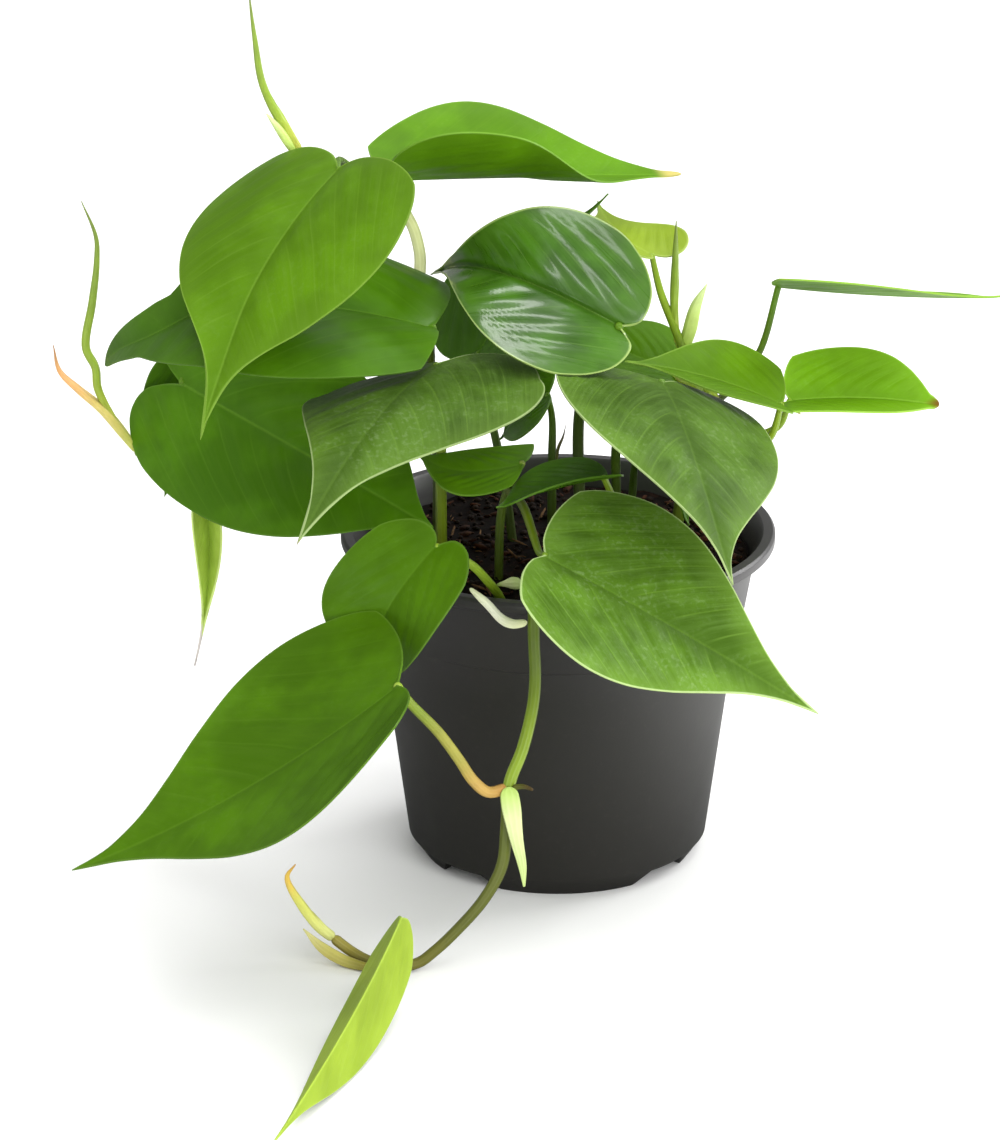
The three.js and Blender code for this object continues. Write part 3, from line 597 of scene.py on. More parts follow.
LEAVES = {
    "crown": dict(base=(-59, -35, 209), tip=(-95, -76, 147), width=69, roll=-14, arch=8, sway=1,
                  lift=(16, 10), cup=-11, twist=-40, lobes=0.5, belly=-0.2, hook=1, drip=0.45,
                  look="bright", tone=0.9),
    "top_right": dict(base=(-42, 7, 192.8), tip=(34, 35, 185), width=65, roll=19, arch=0.5, sway=5,
                      lift=(4, 2.3), cup=14.5, open=0.3, twist=39, lobes=0.15, left_lobes=0.9,
                      slim=(0.2, -0.1), blunt=0.09, dry=0.9, look="plain", tone=1.4),
    "glossy": dict(base=(16, -33, 164), tip=(-35, 13, 163), width=47, roll=57, arch=18, sway=-3,
                   lift=(9, 28), cup=3, twist=-9, lobes=0.55, belly=-0.55, look="glossy", tone=1.15),
    "upper_left": dict(base=(-34, -22, 160), tip=(-131.5, -10, 151), width=66, roll=4, arch=18, sway=20,
                       lift=(23, 17), cup=-12, twist=-38, lobes=0.2, curl=12, dip=4, slim=(0.45, -0.15),
                       blunt=0.27, look="deep", tone=1.02),
    "lower_left": dict(base=(-104, 14, 131), tip=(-34, -35, 107), width=58, roll=-72, arch=3, sway=1,
                       lift=(3, 4), cup=1, twist=-43, lobes=1.15, belly=0.55, look="deep", tone=1.15),
    "middle": dict(base=(-33, -35, 154), tip=(-69, -107, 129), width=67, roll=-20, arch=8, sway=5,
                   lift=(2, -10), cup=-6, twist=-36, lobes=1.2, belly=-0.5, dry=0.96,
                   look="mottled", tone=0.88),
    "right": dict(base=(28, -26, 145.6), tip=(45, -102, 116), width=67, roll=23, arch=10, sway=-7,
                  lift=(-2, 0), cup=-4, twist=-7, lobes=0.9, belly=0.1, look="mottled", tone=0.97),
    "front_right": dict(base=(-4, -72, 113), tip=(69, -86, 73), width=66, roll=-11, arch=1, sway=0,
                        lift=(7, 7), cup=0, twist=46, lobes=0.3, belly=-0.3, look="mottled", tone=1.35),
    "front_heart": dict(base=(-33, -70, 115), tip=(-43, -53, 69), width=35, roll=110, arch=16, sway=-1,
                        lift=(17, 10), cup=3, lobes=0.5, look="plain", tone=0.84),
    "trailing": dict(base=(-43, -110, 91), tip=(-129, -114, 40), width=80, roll=6, arch=-2, sway=4.5,
                     lift=(0, 2), cup=7, twist=-30, lobes=0.3, belly=-0.25, look="plain", tone=0.86),
    "young_trailing": dict(base=(-42, -122, 30), tip=(-74, -202, 2), width=49, roll=17, arch=2, sway=2,
                           lift=(-75, -75), cup=4, twist=-3, lobes=0.5, look="lime", tone=0.98),
    "small_heart": dict(base=(-10, -36, 126), tip=(-39, -26, 127), width=21, roll=19, arch=3, sway=10,
                        lift=(-6, -2), cup=0, twist=-5, lobes=0.2, belly=0.1, look="plain", tone=1.1),
    "small_dark": dict(base=(12, -33, 121), tip=(-17, -49, 118), width=23, roll=-7, arch=0, sway=-4,
                       lift=(12, 11), cup=1, lobes=0.55, belly=0.15, look="deep"),
    "behind_glossy": dict(base=(-22, 15, 140), tip=(14, 36, 179), width=50, roll=0, arch=3,
                          lift=(10, 10), lobes=0.8, drip=0.6, look="deep"),
    "back_right": dict(base=(32, 22, 131), tip=(2, 34, 135), width=27, roll=20, arch=4,
                       lift=(10, 10), lobes=0.8, look="plain"),
    "far_right": dict(base=(61, -5, 132), tip=(18, -10, 146), width=33, roll=7, arch=3, sway=2,
                      lift=(13, 12), cup=1, twist=-10, lobes=0.25, look="bright", tone=0.98),
    "far_right_outer": dict(base=(64, 12, 127), tip=(105, 8, 127), width=31, roll=-16, arch=1, sway=1,
                            lift=(20, 21), cup=1, twist=9, lobes=0.4, belly=0.75, blunt=0.2, dry=0.95,
                            look="bright", tone=1.7),
    "level": dict(base=(61, 25, 156), tip=(125, 22, 154), width=45, roll=20, arch=-1,
                  lift=(3, 3), lobes=0.25, look="bright", tone=1.45),
    "lime": dict(base=(25.5, 10, 170), tip=(11, 39, 176), width=24, roll=-4, arch=-1, sway=2,
                 lift=(6, 4), cup=4, twist=18, lobes=1, belly=-0.15, look="lime", tone=0.78),
    "hanging": dict(base=(-97, 2, 101), tip=(-101, 2, 52), width=16, roll=90, arch=0, sway=2,
                    lift=(60, 60), lobes=0.3, belly=-0.7, drip=0.5, dry=0.72, look="olive", tone=1.7),
    "back_left": dict(base=(-100, 32, 129), tip=(-110, 29, 92), width=30, roll=90, arch=2,
                      lift=(8, 8), lobes=0.8, look="deep"),
    "inner_right": dict(base=(23, 8, 117), tip=(36, -7, 97), width=36, roll=30, arch=2,
                        lift=(8, 8), lobes=0.8, look="deep"),
    "inner": dict(base=(-3, 0, 133), tip=(-16, 10, 116), width=28, roll=40, arch=2,
                  lift=(8, 8), lobes=0.8, look="deep"),
}


def blade_points(leaf, s, t, relief):
    """Where points of a blade lie: s lengths along the midrib, t half widths out, relief above it."""
    base = np.array(leaf["base"], float)
    run = np.array(leaf["tip"], float) - base
    length = np.linalg.norm(run)
    along = run / length
    up = unit(np.array((0, 0, 1.0)) - along * along[2])
    roll = math.radians(leaf["roll"])
    normal = up * math.cos(roll) + np.cross(up, along) * math.sin(roll)
    across = np.cross(normal, along)
    bow = 4 * s * (1 - s)
    tipward = np.clip((s - CURL_FROM) / (1 - CURL_FROM), 0, None) ** 2 * leaf["curl"]
    lift = np.radians(np.where(t > 0, leaf["lift"][1], leaf["lift"][0]))
    half = leaf["width"] / 2
    out = t * half * np.cos(lift)
    cup = leaf["cup"] * (1 - leaf["open"] * (1 - step_up(*CUP_GROWS, s)))
    height = np.abs(t) * half * np.sin(lift) + cup * t * t - tipward + relief
    turn = math.radians(leaf["twist"]) * s
    near_tip = np.sin(math.pi * np.clip((s - DIP_FROM) / (1 - DIP_FROM), 0, 1)) ** 2
    rise = leaf["arch"] * bow + height * np.cos(turn) + out * np.sin(turn) - leaf["dip"] * near_tip
    aside = leaf["sway"] * bow + out * np.cos(turn) - height * np.sin(turn) + leaf["hook"] * near_tip
    return (
        base
        + np.outer(length * s - tipward / 2, along)
        + np.outer(rise, normal)
        + np.outer(aside, across)
    )


def to_outline(spots, outline):
    """Each spot's distance to the nearest side of the closed outline, all flat and in millimetres."""
    start, side = outline[:-1], np.diff(outline, axis=0)
    gap = spots[:, None, :] - start[None]
    share = np.clip((gap * side).sum(2) / np.maximum((side**2).sum(1), 1e-12), 0, 1)
    return np.linalg.norm(gap - share[..., None] * side, axis=2).min(1)


def make_blade(name, leaf, seed):
    """One blade: a grid laid out along its veins, given its relief, then its thickness."""
    foliage = bpy.context.scene.plant.foliage
    look = LOOKS[leaf["look"]]
    blade, x, row = wrapped_grid(f"blade_{name}", foliage.leaf_columns, foliage.leaf_rows)
    side = 1 - 2 * x
    v = np.sign(side) * np.abs(side) ** CROWDING
    length = math.dist(leaf["base"], leaf["tip"])
    half = leaf["width"] / 2

    s_out, t_out, vein = through(HEART, row).T
    t_out = np.maximum(t_out, 0)
    t_out *= 1 - leaf["drip"] * step_up(*DRIP_ROWS, row)
    t_out *= 1 - np.where(side > 0, leaf["slim"][1], leaf["slim"][0]) * step_up(*SLIM_ROWS, row)
    rounded = np.sqrt(np.clip((1 - s_out) / 0.25, 0, 1)) * (s_out > 0.5)
    t_out = np.maximum(t_out, leaf["blunt"] * rounded)
    lobes = np.where(side < 0, leaf.get("left_lobes", leaf["lobes"]), leaf["lobes"])
    s_out = np.where(s_out < 0, s_out * lobes, s_out + leaf["belly"] * s_out * (1 - s_out))
    s = vein + (s_out - vein) * np.abs(v) ** VEIN_BEND
    t = t_out * v

    flat = np.column_stack([t * half, s * length])
    order = np.argsort(row, kind="stable")
    left = order[x[order] < 1e-6]
    right = order[x[order] > 1 - 1e-6]
    rib = np.abs(flat[:, 0])
    edge = to_outline(flat, np.vstack([flat[left], flat[right][::-1], flat[left][:1]]))

    ends = step_up(0, 0.12, row) * (1 - step_up(0.86, 1, row))
    inner = step_up(0.5, VEINLESS, rib) * step_up(0, VEINLESS, edge) * ends
    foot = s - half / length * (VEIN_SLOPE * np.abs(t) + VEIN_CURVE * t * t)
    pitch = np.sin(math.pi * foliage.veins * foot) ** 2
    seeds = Vector((seed * 7.3, seed * 3.1, seed * 1.7))
    drift = np.array([noise.noise(Vector((a, b, 0)) / PATCH_WIDTH + seeds) for a, b in flat])
    ripple = np.sin(row * RIPPLES + seed + 2 * np.sign(side)) * np.abs(v) ** 4 * ends
    valley = 0.65 * bell(rib, look["valley"]) + 0.35 * bell(rib, CREASE)
    relief = (
        look["quilt"] * (pitch - 0.5) * inner
        - look["groove"] * valley * ends
        + look["drift"] * drift * inner
        + look["wave"] * ripple
    )
    put_points(blade, blade_points(leaf, s, t, relief))
    note(blade, "rib_mm", rib)
    note(blade, "edge_mm", edge)
    note(blade, "inner", inner)
    note(blade, "tone", np.full(len(row), leaf["tone"]))
    note(blade, "dry", step_up(leaf["dry"], leaf["dry"] + 0.06, s_out))
    note(blade, "vein_at", np.column_stack([foot, t, np.full(len(row), seed)]), "FLOAT_VECTOR")
    weld(blade, outward=False)
    apply_modifier(
        blade, "SOLIDIFY", thickness=foliage.thickness, offset=0, use_even_offset=False,
        use_rim=True, material_offset=1, material_offset_rim=2,
    )
    return blade


class PLANT_OT_leaves(bpy.types.Operator):
    """Models every leaf blade"""

    bl_idname = "plant.leaves"
    bl_label = "Leaf blades"

    def execute(self, context):
        finishes = {
            name: (
                leaf_top(f"{name} leaf, upper face", look),
                leaf_under(f"{name} leaf, lower face", look),
                leaf_rim(f"{name} leaf, edge", look),
            )
            for name, look in LOOKS.items()
        }
        for seed, (name, leaf) in enumerate(LEAVES.items()):
            blade = make_blade(name, USUAL_BLADE | leaf, seed)
            finish(blade, f"leaf_{name}", LOOKS[leaf["look"]]["slot"], *finishes[leaf["look"]])
            shade(blade, 50)
        return {"FINISHED"}


# ---- Stems ----
def stem_path(route, spacing=0.25):
    """Closely spaced points on the rounded path through a route, in millimetres."""
    knots = np.asarray(route, float)
    padded = np.vstack([2 * knots[0] - knots[1], knots, 2 * knots[-1] - knots[-2]])
    path = [knots[:1]]
    for p0, p1, p2, p3 in zip(padded, padded[1:], padded[2:], padded[3:]):
        d0, d1, d2 = (math.sqrt(np.linalg.norm(b - a)) for a, b in ((p0, p1), (p1, p2), (p2, p3)))
        m1 = ((p1 - p0) / d0 - (p2 - p0) / (d0 + d1) + (p2 - p1) / d1) * d1
        m2 = ((p2 - p1) / d1 - (p3 - p1) / (d1 + d2) + (p3 - p2) / d2) * d1
        count = max(4, int(np.linalg.norm(p2 - p1) / spacing))
        f = np.linspace(0, 1, count + 1)[1:, None]
        path.append(
            (2 * f**3 - 3 * f**2 + 1) * p1 + (f**3 - 2 * f**2 + f) * m1
            + (3 * f**2 - 2 * f**3) * p2 + (f**3 - f**2) * m2
        )
    return np.vstack(path)


def carried_along(tangents):
    """A side direction for each point of a path that turns with the path and never spins round it."""
    first = tangents[0]
    axis = np.eye(3)[2 - int(np.argmin(np.abs(first)[::-1]))]
    normal = np.cross(first, unit(np.cross(first, axis)))
    normals = [normal]
    for tangent in tangents[1:]:
        normal = unit(normal - tangent * normal.dot(tangent))
        normals.append(normal)
    return np.array(normals)


def read_along(where, lengths, rows):
    """Rows of vectors, one for each point of a path, read at these lengths along it."""
    return np.column_stack([np.interp(where, lengths, column) for column in rows.T])


def half_turn(angle):
    """The same angle, between minus and plus half a turn."""
    return np.mod(angle + math.pi, math.tau) - math.pi


RING_GAP, LEAST_RINGS = 0.9, 6  # between the rings of points along a tube, in millimetres, and how many
ROUND_END = np.array([0, 0.06, 0.25, 0.6])  # how far in the rings of a rounded end lie, in radii
THINNEST = 0.08  # the least radius of a tube, in millimetres, before its ends are rounded
JOINT_SWELL, JOINT_LENGTH = 0.2, 1.5  # a joint is this much thicker, over this many millimetres
SCAR_PLACE, SCAR_LENGTH, SCAR_STRENGTH = 0.3, 0.45, 0.8  # of the brown ring just past a joint
SWELL_LENGTH = 2.2  # of a stalk's thicker end, in millimetres
SEAM_DEPTH, SEAM_WIDTH = 0.22, 0.22  # of a rolled leaf's seam: a share of the radius, and radians
FOLD_HEIGHT, FOLD_PLACE, FOLD_WIDTH = 0.1, 0.5, 0.35  # of the ridge beside the seam, in the same way
GROOVE_WIDTH = 0.4  # of a stalk's groove, in radians
HOLLOW_DEPTH, HOLLOW_WIDTH = 0.8, 0.55  # of a sheath's hollow, each as a share of its half width


def make_tube(name, route, radii, flat=1, reach=0.3, joints=(), seam=0, boat=0, groove=0, swell=0):
    """A stem, stalk, shoot or sheath: a section swept along its route, with round ends.

    radii are spread evenly along the route, flat is the section's short side over its long side, and
    reach is how far the tube goes on past both ends, in millimetres. joints are places along it, from
    0 to 1, with a ring scar. A rolled leaf has a seam that winds round it seam times, a sheath is
    hollowed on one side by boat, and a stalk has a groove and swells at its end.
    """
    path = stem_path(route)
    lengths = np.concatenate([[0], np.cumsum(np.linalg.norm(np.diff(path, axis=0), axis=1))])
    total = lengths[-1]
    tangents = unit(np.gradient(path, axis=0))
    normals = carried_along(tangents)
    foot, end = radii[0], radii[-1]
    stations = np.concatenate([
        ROUND_END * foot - reach,
        np.linspace(foot - reach, total - end + reach, max(LEAST_RINGS, int(total / RING_GAP))),
        total + reach - ROUND_END[::-1] * end,
    ])
    tube, turn, along = wrapped_grid(name, bpy.context.scene.plant.foliage.stem_sides, len(stations) - 1)
    place = stations[np.rint(along * (len(stations) - 1)).astype(int)]
    inside = np.clip(place, 0, total)
    tangent = unit(read_along(inside, lengths, tangents))
    normal = unit(read_along(inside, lengths, normals))
    side = np.cross(tangent, normal)
    centre = read_along(inside, lengths, path) + tangent * (place - inside)[:, None]

    run = inside / total
    radius = np.maximum(through(radii, run)[:, 0], THINNEST)
    near_joint = np.zeros(len(run))
    for joint in joints:
        gap = (run - joint) * total
        radius *= 1 + JOINT_SWELL * bell(gap, JOINT_LENGTH)
        near_joint = np.maximum(near_joint, bell(gap - SCAR_PLACE, SCAR_LENGTH))
    radius *= 1 + swell * bell((1 - run) * total, SWELL_LENGTH)
    for depth, tip in ((place + reach, foot), (total + reach - place, end)):
        radius *= np.sqrt(np.clip(1 - (1 - np.clip(depth / tip, 0, 1)) ** 2, 0, 1))
    angle = turn * math.tau
    if seam:
        lag = half_turn(angle - seam * math.tau * run)
        fold = FOLD_HEIGHT * bell(lag - FOLD_PLACE, FOLD_WIDTH)
        radius *= 1 - SEAM_DEPTH * bell(lag, SEAM_WIDTH) + fold
    if groove:
        radius *= 1 - groove * bell(half_turn(angle - math.pi / 2), GROOVE_WIDTH)
    lift = np.sin(angle) * flat
    if boat:
        lift = np.where(lift < 0, lift * (1 - boat), lift)
        hollow = HOLLOW_DEPTH * bell(np.cos(angle), HOLLOW_WIDTH) * (np.sin(angle) > 0)
        lift = lift - boat * flat * hollow
    put_points(
        tube, centre + normal * (np.cos(angle) * radius)[:, None] + side * (lift * radius)[:, None]
    )
    note(tube, "run", run)
    note(tube, "turn", turn)
    note(tube, "joint", near_joint * SCAR_STRENGTH)
    weld(tube, 0.01)
    return tube


# Routes are in millimetres from foot to end, and radii are spread evenly along them. Only a vine's first
# route has the joints listed; its side stems have one joint near the end.
SIDE_JOINTS = (0.9,)
VINES = {
    "trailing": dict(look="vine_trailing", radii=(1.7, 1.6, 1.7, 1.5, 1.5), joints=(0.49,), routes=[
        [(-6, -44, 84), (-6.3, -51, 94), (-6.8, -57.5, 97.5), (-7, -62.8, 95), (-7, -65.5, 88),
         (-6.6, -68, 76), (-7.3, -71, 69), (-10, -76, 59), (-13.5, -80, 50.5), (-14.3, -82, 39),
         (-15.5, -84, 28.5), (-20, -86, 20), (-27.5, -87, 11), (-33.7, -88.2, 5.2), (-38, -89, 2.2),
         (-44, -91, 2), (-50.5, -88, 2), (-56, -83, 2.8), (-61, -81, 6)],
    ]),
    "crown": dict(look="vine_crown", radii=(1.8, 1.7, 1.4), joints=(0.42, 0.74), routes=[
        [(-33, 5, 84), (-33, 7, 113), (-35, 9, 134), (-38, 10, 160), (-38, 9, 171), (-41, 8, 181),
         (-48, 5, 189), (-62, 2, 197), (-70.5, 0, 203)],
    ]),
    "left": dict(radii=(1.7, 1.7, 1.4), joints=(0.6,), routes=[
        [(-40, 12, 84), (-46, 15, 92), (-57, 19, 97.5), (-66, 22, 98), (-85, 25, 96.5), (-104, 22, 100),
         (-117, 18, 110)],
        [(-76, 24, 97.5), (-82, 29, 110), (-91, 34, 126), (-97, 36, 131), (-100, 32.2, 129)],
        [(-90, 24.5, 97.5), (-95, 16, 101), (-97, 3, 101)],
    ]),
    "right": dict(look="vine_lime", radii=(1.8, 1.7, 1.4), joints=(0.4, 0.7), routes=[
        [(33, 22, 84), (36, 22, 100), (42, 18, 112), (43, 15, 125), (38, 16, 136), (33, 18, 142)],
        [(43, 15.5, 121), (38, 22, 127), (32, 22, 131)],
    ]),
    "front": dict(radii=(1.2, 1.2, 1), joints=(), routes=[
        [(-16.3, -25, 84), (-16.3, -25, 92), (-15.5, -24, 108), (-12.5, -27, 118), (-10, -36, 126)],
    ]),
}

STALK_RADII = (1.25, 1.2, 0.8)
STALKS = {
    "crown": dict(radii=(1.25, 1.2, 0.6),
                  route=[(-49, 5, 189), (-55, -5, 198), (-59, -20, 206.5), (-59, -35, 209)]),
    "top_right": dict(route=[(-41, 8, 181), (-45, 12, 186), (-46.5, 10, 191.5), (-42, 7, 192.8)]),
    "glossy": dict(radii=(1.7, 1.5, 1.2),
                   route=[(7, 4, 84), (6, 5, 100), (5.8, 5, 125), (9, -4, 143), (15, -23, 158),
                          (16, -33, 164)]),
    "upper_left": dict(route=[(-35, 9, 136), (-35, 1, 147), (-34, -12, 155), (-34, -22, 160)]),
    "lower_left": dict(route=[(-92, 24, 98), (-95, 26, 118), (-97, 26, 135), (-101, 21, 138),
                              (-104, 14, 131)]),
    "middle": dict(radii=(1.6, 1.5, 1.2), look="petiole_olive",
                   route=[(-32, -21, 84), (-32, -24, 99), (-32, -28, 117), (-32, -32, 137),
                          (-33, -35, 154)]),
    "right": dict(radii=(1.3, 1.3, 1.1),
                  route=[(16, -2, 84), (16, -3, 104.5), (16, -7, 122), (20, -15, 138), (28, -26, 145.6)]),
    "front_right": dict(look="petiole_olive",
                        route=[(-14, -25, 114.5), (-10, -36, 114), (-5.5, -62, 110), (-4, -72, 113)]),
    "front_heart": dict(look="petiole_lime",
                        route=[(-14, -46, 84), (-16, -49, 92), (-20, -54, 99.6), (-24, -60, 106),
                               (-33, -70, 115)]),
    "trailing": dict(radii=(1.6, 1.4, 1.2), look="petiole_tan",
                     route=[(-14, -80.5, 49.5), (-19, -82, 49), (-23, -84, 53), (-27, -88, 61),
                            (-32, -92, 70), (-40, -104, 84), (-43, -110, 91)]),
    "young_trailing": dict(look="petiole_lime",
                           route=[(-46, -91, 2.2), (-45, -98, 8), (-43, -112, 20), (-42, -120.3, 28)]),
    "small_dark": dict(look="petiole_lime",
                       route=[(13, -14, 84), (13.5, -18, 98), (14.5, -27, 112), (12, -33, 121)]),
    "behind_glossy": dict(route=[(-12, 4, 84), (-15, 10, 105), (-20, 15, 128), (-22, 15, 140)]),
    "far_right": dict(look="petiole_lime",
                      route=[(40, 19, 109), (50, 8, 112), (58, 3, 119), (61, -5, 132)]),
    "far_right_outer": dict(look="petiole_lime",
                            route=[(42, 17, 115), (52, 17, 114), (61, 14, 118.5), (64, 12, 127)]),
    "level": dict(radii=(1.1, 1, 0.9), route=[(42, 14, 124), (50, 19, 130), (56, 22, 138), (61, 25, 156)]),
    "lime": dict(look="petiole_lime",
                 route=[(35, 17, 139), (31.3, 13.5, 149.5), (28, 11, 159), (25.5, 10, 170)]),
    "inner_right": dict(route=[(20, 10, 84), (21, 10, 105), (22, 8, 117)]),
    "inner": dict(route=[(-1.7, 4, 84), (-1.7, 4, 112), (-1.7, 3, 125), (-3, 0, 133)]),
}

SHOOTS = {
    "crown": dict(look="shoot", radii=(1.3, 1.4, 1.1, 0.9, 0.5, 0.15),
                  route=[(-70.5, 0, 203), (-75, 0, 211), (-78, 0, 216.5), (-80.4, 0, 223), (-82, 0, 234.5),
                         (-83.5, 0, 248)]),
    "left": dict(look="shoot", radii=(1, 1.1, 1.2, 1.1, 0.7, 0.15),
                 route=[(-121, 16, 116), (-127, 13, 130), (-127.5, 13, 136), (-130, 13, 142),
                        (-128, 13, 155), (-126.5, 13, 167), (-126.6, 13, 174), (-130.3, 13, 184)]),
    "right": dict(look="shoot", radii=(1, 1.1, 1.2, 0.9, 0.15),
                  route=[(33, 18, 142), (32.3, 15, 147), (31.8, 11, 156.5), (31.9, 7, 169.5), (32, 5, 181)]),
    "trailing": dict(look="shoot_flushed", radii=(1.5, 1.5, 1.3, 0.9, 0.2),
                     route=[(-61, -81, 6), (-65, -81, 9.5), (-70, -80, 16), (-73, -80, 21.7),
                            (-73.2, -80, 24), (-71.2, -79, 26.5)]),
}

SHEATHS = {
    "crown": dict(flat=1, look="sheath_lime", radii=(1.2, 1.7, 1.4, 0.3),
                  route=[(-71.5, -2, 202.5), (-73.6, -2.4, 206), (-76, -2.2, 209.8), (-79, -2, 213.8)]),
    "left": dict(flat=0.9, look="sheath_flushed", radii=(1.6, 2.2, 1.9, 1.3, 0.2),
                 route=[(-117, 19, 109.6), (-126, 14, 123.4), (-132.4, 13, 129.6), (-137.5, 13, 135.1),
                        (-139, 13, 142.6)]),
    "right": dict(flat=1.5, look="sheath_lime", radii=(1.7, 1.9, 1.4, 0.15),
                  route=[(34.8, 17, 141.5), (36, 16, 146), (37.8, 15, 153.6), (40.8, 14, 160)]),
    "node": dict(flat=0.35, look="sheath_green", radii=(2.4, 2.6, 2.1, 1.6, 1.1, 0.3),
                 route=[(-13.8, -82.6, 50.7), (-13, -84.1, 45.6), (-11.6, -86.1, 37.2), (-10, -87.1, 29.5),
                        (-9.5, -87.1, 23.7)]),
    "rim": dict(flat=0.85, look="sheath_cream", radii=(0.8, 1.7, 1.8, 2.2, 1.8),
                route=[(-24, -60, 99), (-19.5, -62, 95.6), (-15.7, -64.5, 92.3), (-12.5, -66.5, 91.4),
                       (-8.8, -67, 92)]),
    "ground": dict(flat=0.8, look="sheath_straw", radii=(1.2, 1.7, 1.6, 0.2),
                   route=[(-51, -91, 1.6), (-58, -87, 2), (-64, -85, 5), (-69, -83, 9.5)]),
}

# Small dry parts that only the looks show: bracts, a scrap of sheath and the stub of an aerial root.
SCRAPS = {
    "front_flap": dict(look="sheath_green", flat=0.5, radii=(0.3, 1, 1.8, 1.4),
                       route=[(-16.8, -48, 95.4), (-15, -49, 96), (-12.5, -50.5, 96.8), (-10, -52, 97.2)]),
    "bract": dict(look="bract", flat=0.4, radii=(1.2, 1.4, 0.9, 0.15),
                  route=[(-0.8, -22, 120), (-0.2, -22, 125.2), (1.1, -22, 128.4), (1.9, -22, 132.1)]),
    "root_stub": dict(look="bract", flat=1, radii=(0.8, 0.7, 0.4),
                      route=[(-12.5, -81.5, 50.2), (-9.5, -84, 51.4), (-7.2, -86, 51.3)]),
    "far_bract": dict(look="sheath_straw", flat=0.5, radii=(0.8, 0.9, 0.2),
                      route=[(61.3, 11, 126.5), (64.6, 8, 125.9), (66.8, 6, 124.9)]),
}

# The skins of stems, stalks, shoots and sheaths: name, colours from the foot to the end, roughness and
# how strongly the stripes show.
SKINS = {
    "vine": ("green vine skin", [(0, "3e4a10"), (0.3, "4a5e0c"), (0.6, "586e18"), (1, "7a8c34")], 0.45, 0.4),
    "vine_crown": ("pale vine skin", [(0, "3e4a10"), (0.45, "4a5e0c"), (0.6, "ccd296"), (1, "a9b45c")],
                   0.45, 0.4),
    "vine_lime": ("lime vine skin", [(0, "4f6210"), (0.4, "6c8614"), (0.8, "8aa41c"), (1, "98b230")],
                  0.45, 0.4),
    "vine_trailing": ("trailing vine skin",
                      [(0, "5e7214"), (0.25, "5a6e12"), (0.46, "7c9424"), (0.52, "525c16"),
                       (0.7, "5a5f22"), (0.88, "686424"), (1, "9a8f3a")], 0.45, 0.45),
    "petiole": ("dark green leaf stalk", [(0, "3c4a0c"), (0.6, "466208"), (1, "557a10")], 0.45, 0.15),
    "petiole_olive": ("olive leaf stalk", [(0, "5a6a0e"), (0.6, "687e10"), (1, "67851a")], 0.45, 0.15),
    "petiole_lime": ("lime leaf stalk", [(0, "64800e"), (0.6, "7e9a18"), (1, "7f9c24")], 0.45, 0.15),
    "petiole_tan": ("flushed leaf stalk",
                    [(0, "b08440"), (0.12, "b4924a"), (0.4, "94903a"), (0.8, "788c24"), (1, "8aa434")],
                    0.45, 0.15),
    "shoot": ("rolled new leaf", [(0, "b0b548"), (0.3, "8aa432"), (0.7, "7c9632"), (1, "6e7f3a")],
              0.38, 0.12),
    "shoot_flushed": ("rolled new leaf, flushed",
                      [(0, "d5d984"), (0.5, "cdcf62"), (0.85, "d8b447"), (1, "b98d3a")], 0.4, 0.25),
    "sheath_green": ("green papery sheath", [(0, "a4bf5e"), (0.35, "c6d094"), (1, "b0c478")], 0.5, 0.2),
    "sheath_lime": ("lime papery sheath", [(0, "94b43a"), (0.4, "b4cc68"), (1, "c6d894")], 0.5, 0.2),
    "sheath_straw": ("straw papery sheath", [(0, "8a8430"), (0.5, "bdb45a"), (1, "d4cf86")], 0.5, 0.2),
    "sheath_cream": ("cream papery sheath", [(0, "dfe3b6"), (0.5, "e8ead0"), (1, "d3d9a4")], 0.52, 0.35),
    "sheath_flushed": ("flushed papery sheath",
                       [(0, "b9bf5a"), (0.4, "cfc06a"), (0.75, "dba468"), (1, "a87a4a")], 0.46, 0.2),
    "bract": ("dry brown bract", [(0, "59601c"), (1, "4a3a1c")], 0.6, 0.4),
}


def skins(table, usual=None):
    """The materials that the pieces of a table are finished with, by the name of their look."""
    looks = dict.fromkeys(piece.get("look", usual) for piece in table.values())
    return {look: stem_finish(*SKINS[look]) for look in looks}


class PLANT_OT_stems(bpy.types.Operator):
    """Models the vines and the leaf stalks"""

    bl_idname = "plant.stems"
    bl_label = "Vines and stalks"

    def execute(self, context):
        made = skins(VINES, "vine")
        for name, vine in VINES.items():
            tubes = []
            for i, route in enumerate(vine["routes"]):
                joints = SIDE_JOINTS if i else vine["joints"]
                tubes.append(make_tube(f"stem_{name}_{i}", route, vine["radii"], joints=joints))
            only(*tubes)
            if len(tubes) > 1:
                bpy.ops.object.join()
            stem = name_it(f"stem_{name}")
            finish(stem, f"vine_{name}", "stem_green", made[vine.get("look", "vine")])
            shade(stem)
        made = skins(STALKS, "petiole")
        for name, stalk in STALKS.items():
            radii = stalk.get("radii", STALK_RADII)
            tube = make_tube(f"petiole_{name}", stalk["route"], radii, groove=0.12, swell=0.05)
            finish(tube, f"stalk_{name}", "stem_green", made[stalk.get("look", "petiole")])
            shade(tube)
        return {"FINISHED"}


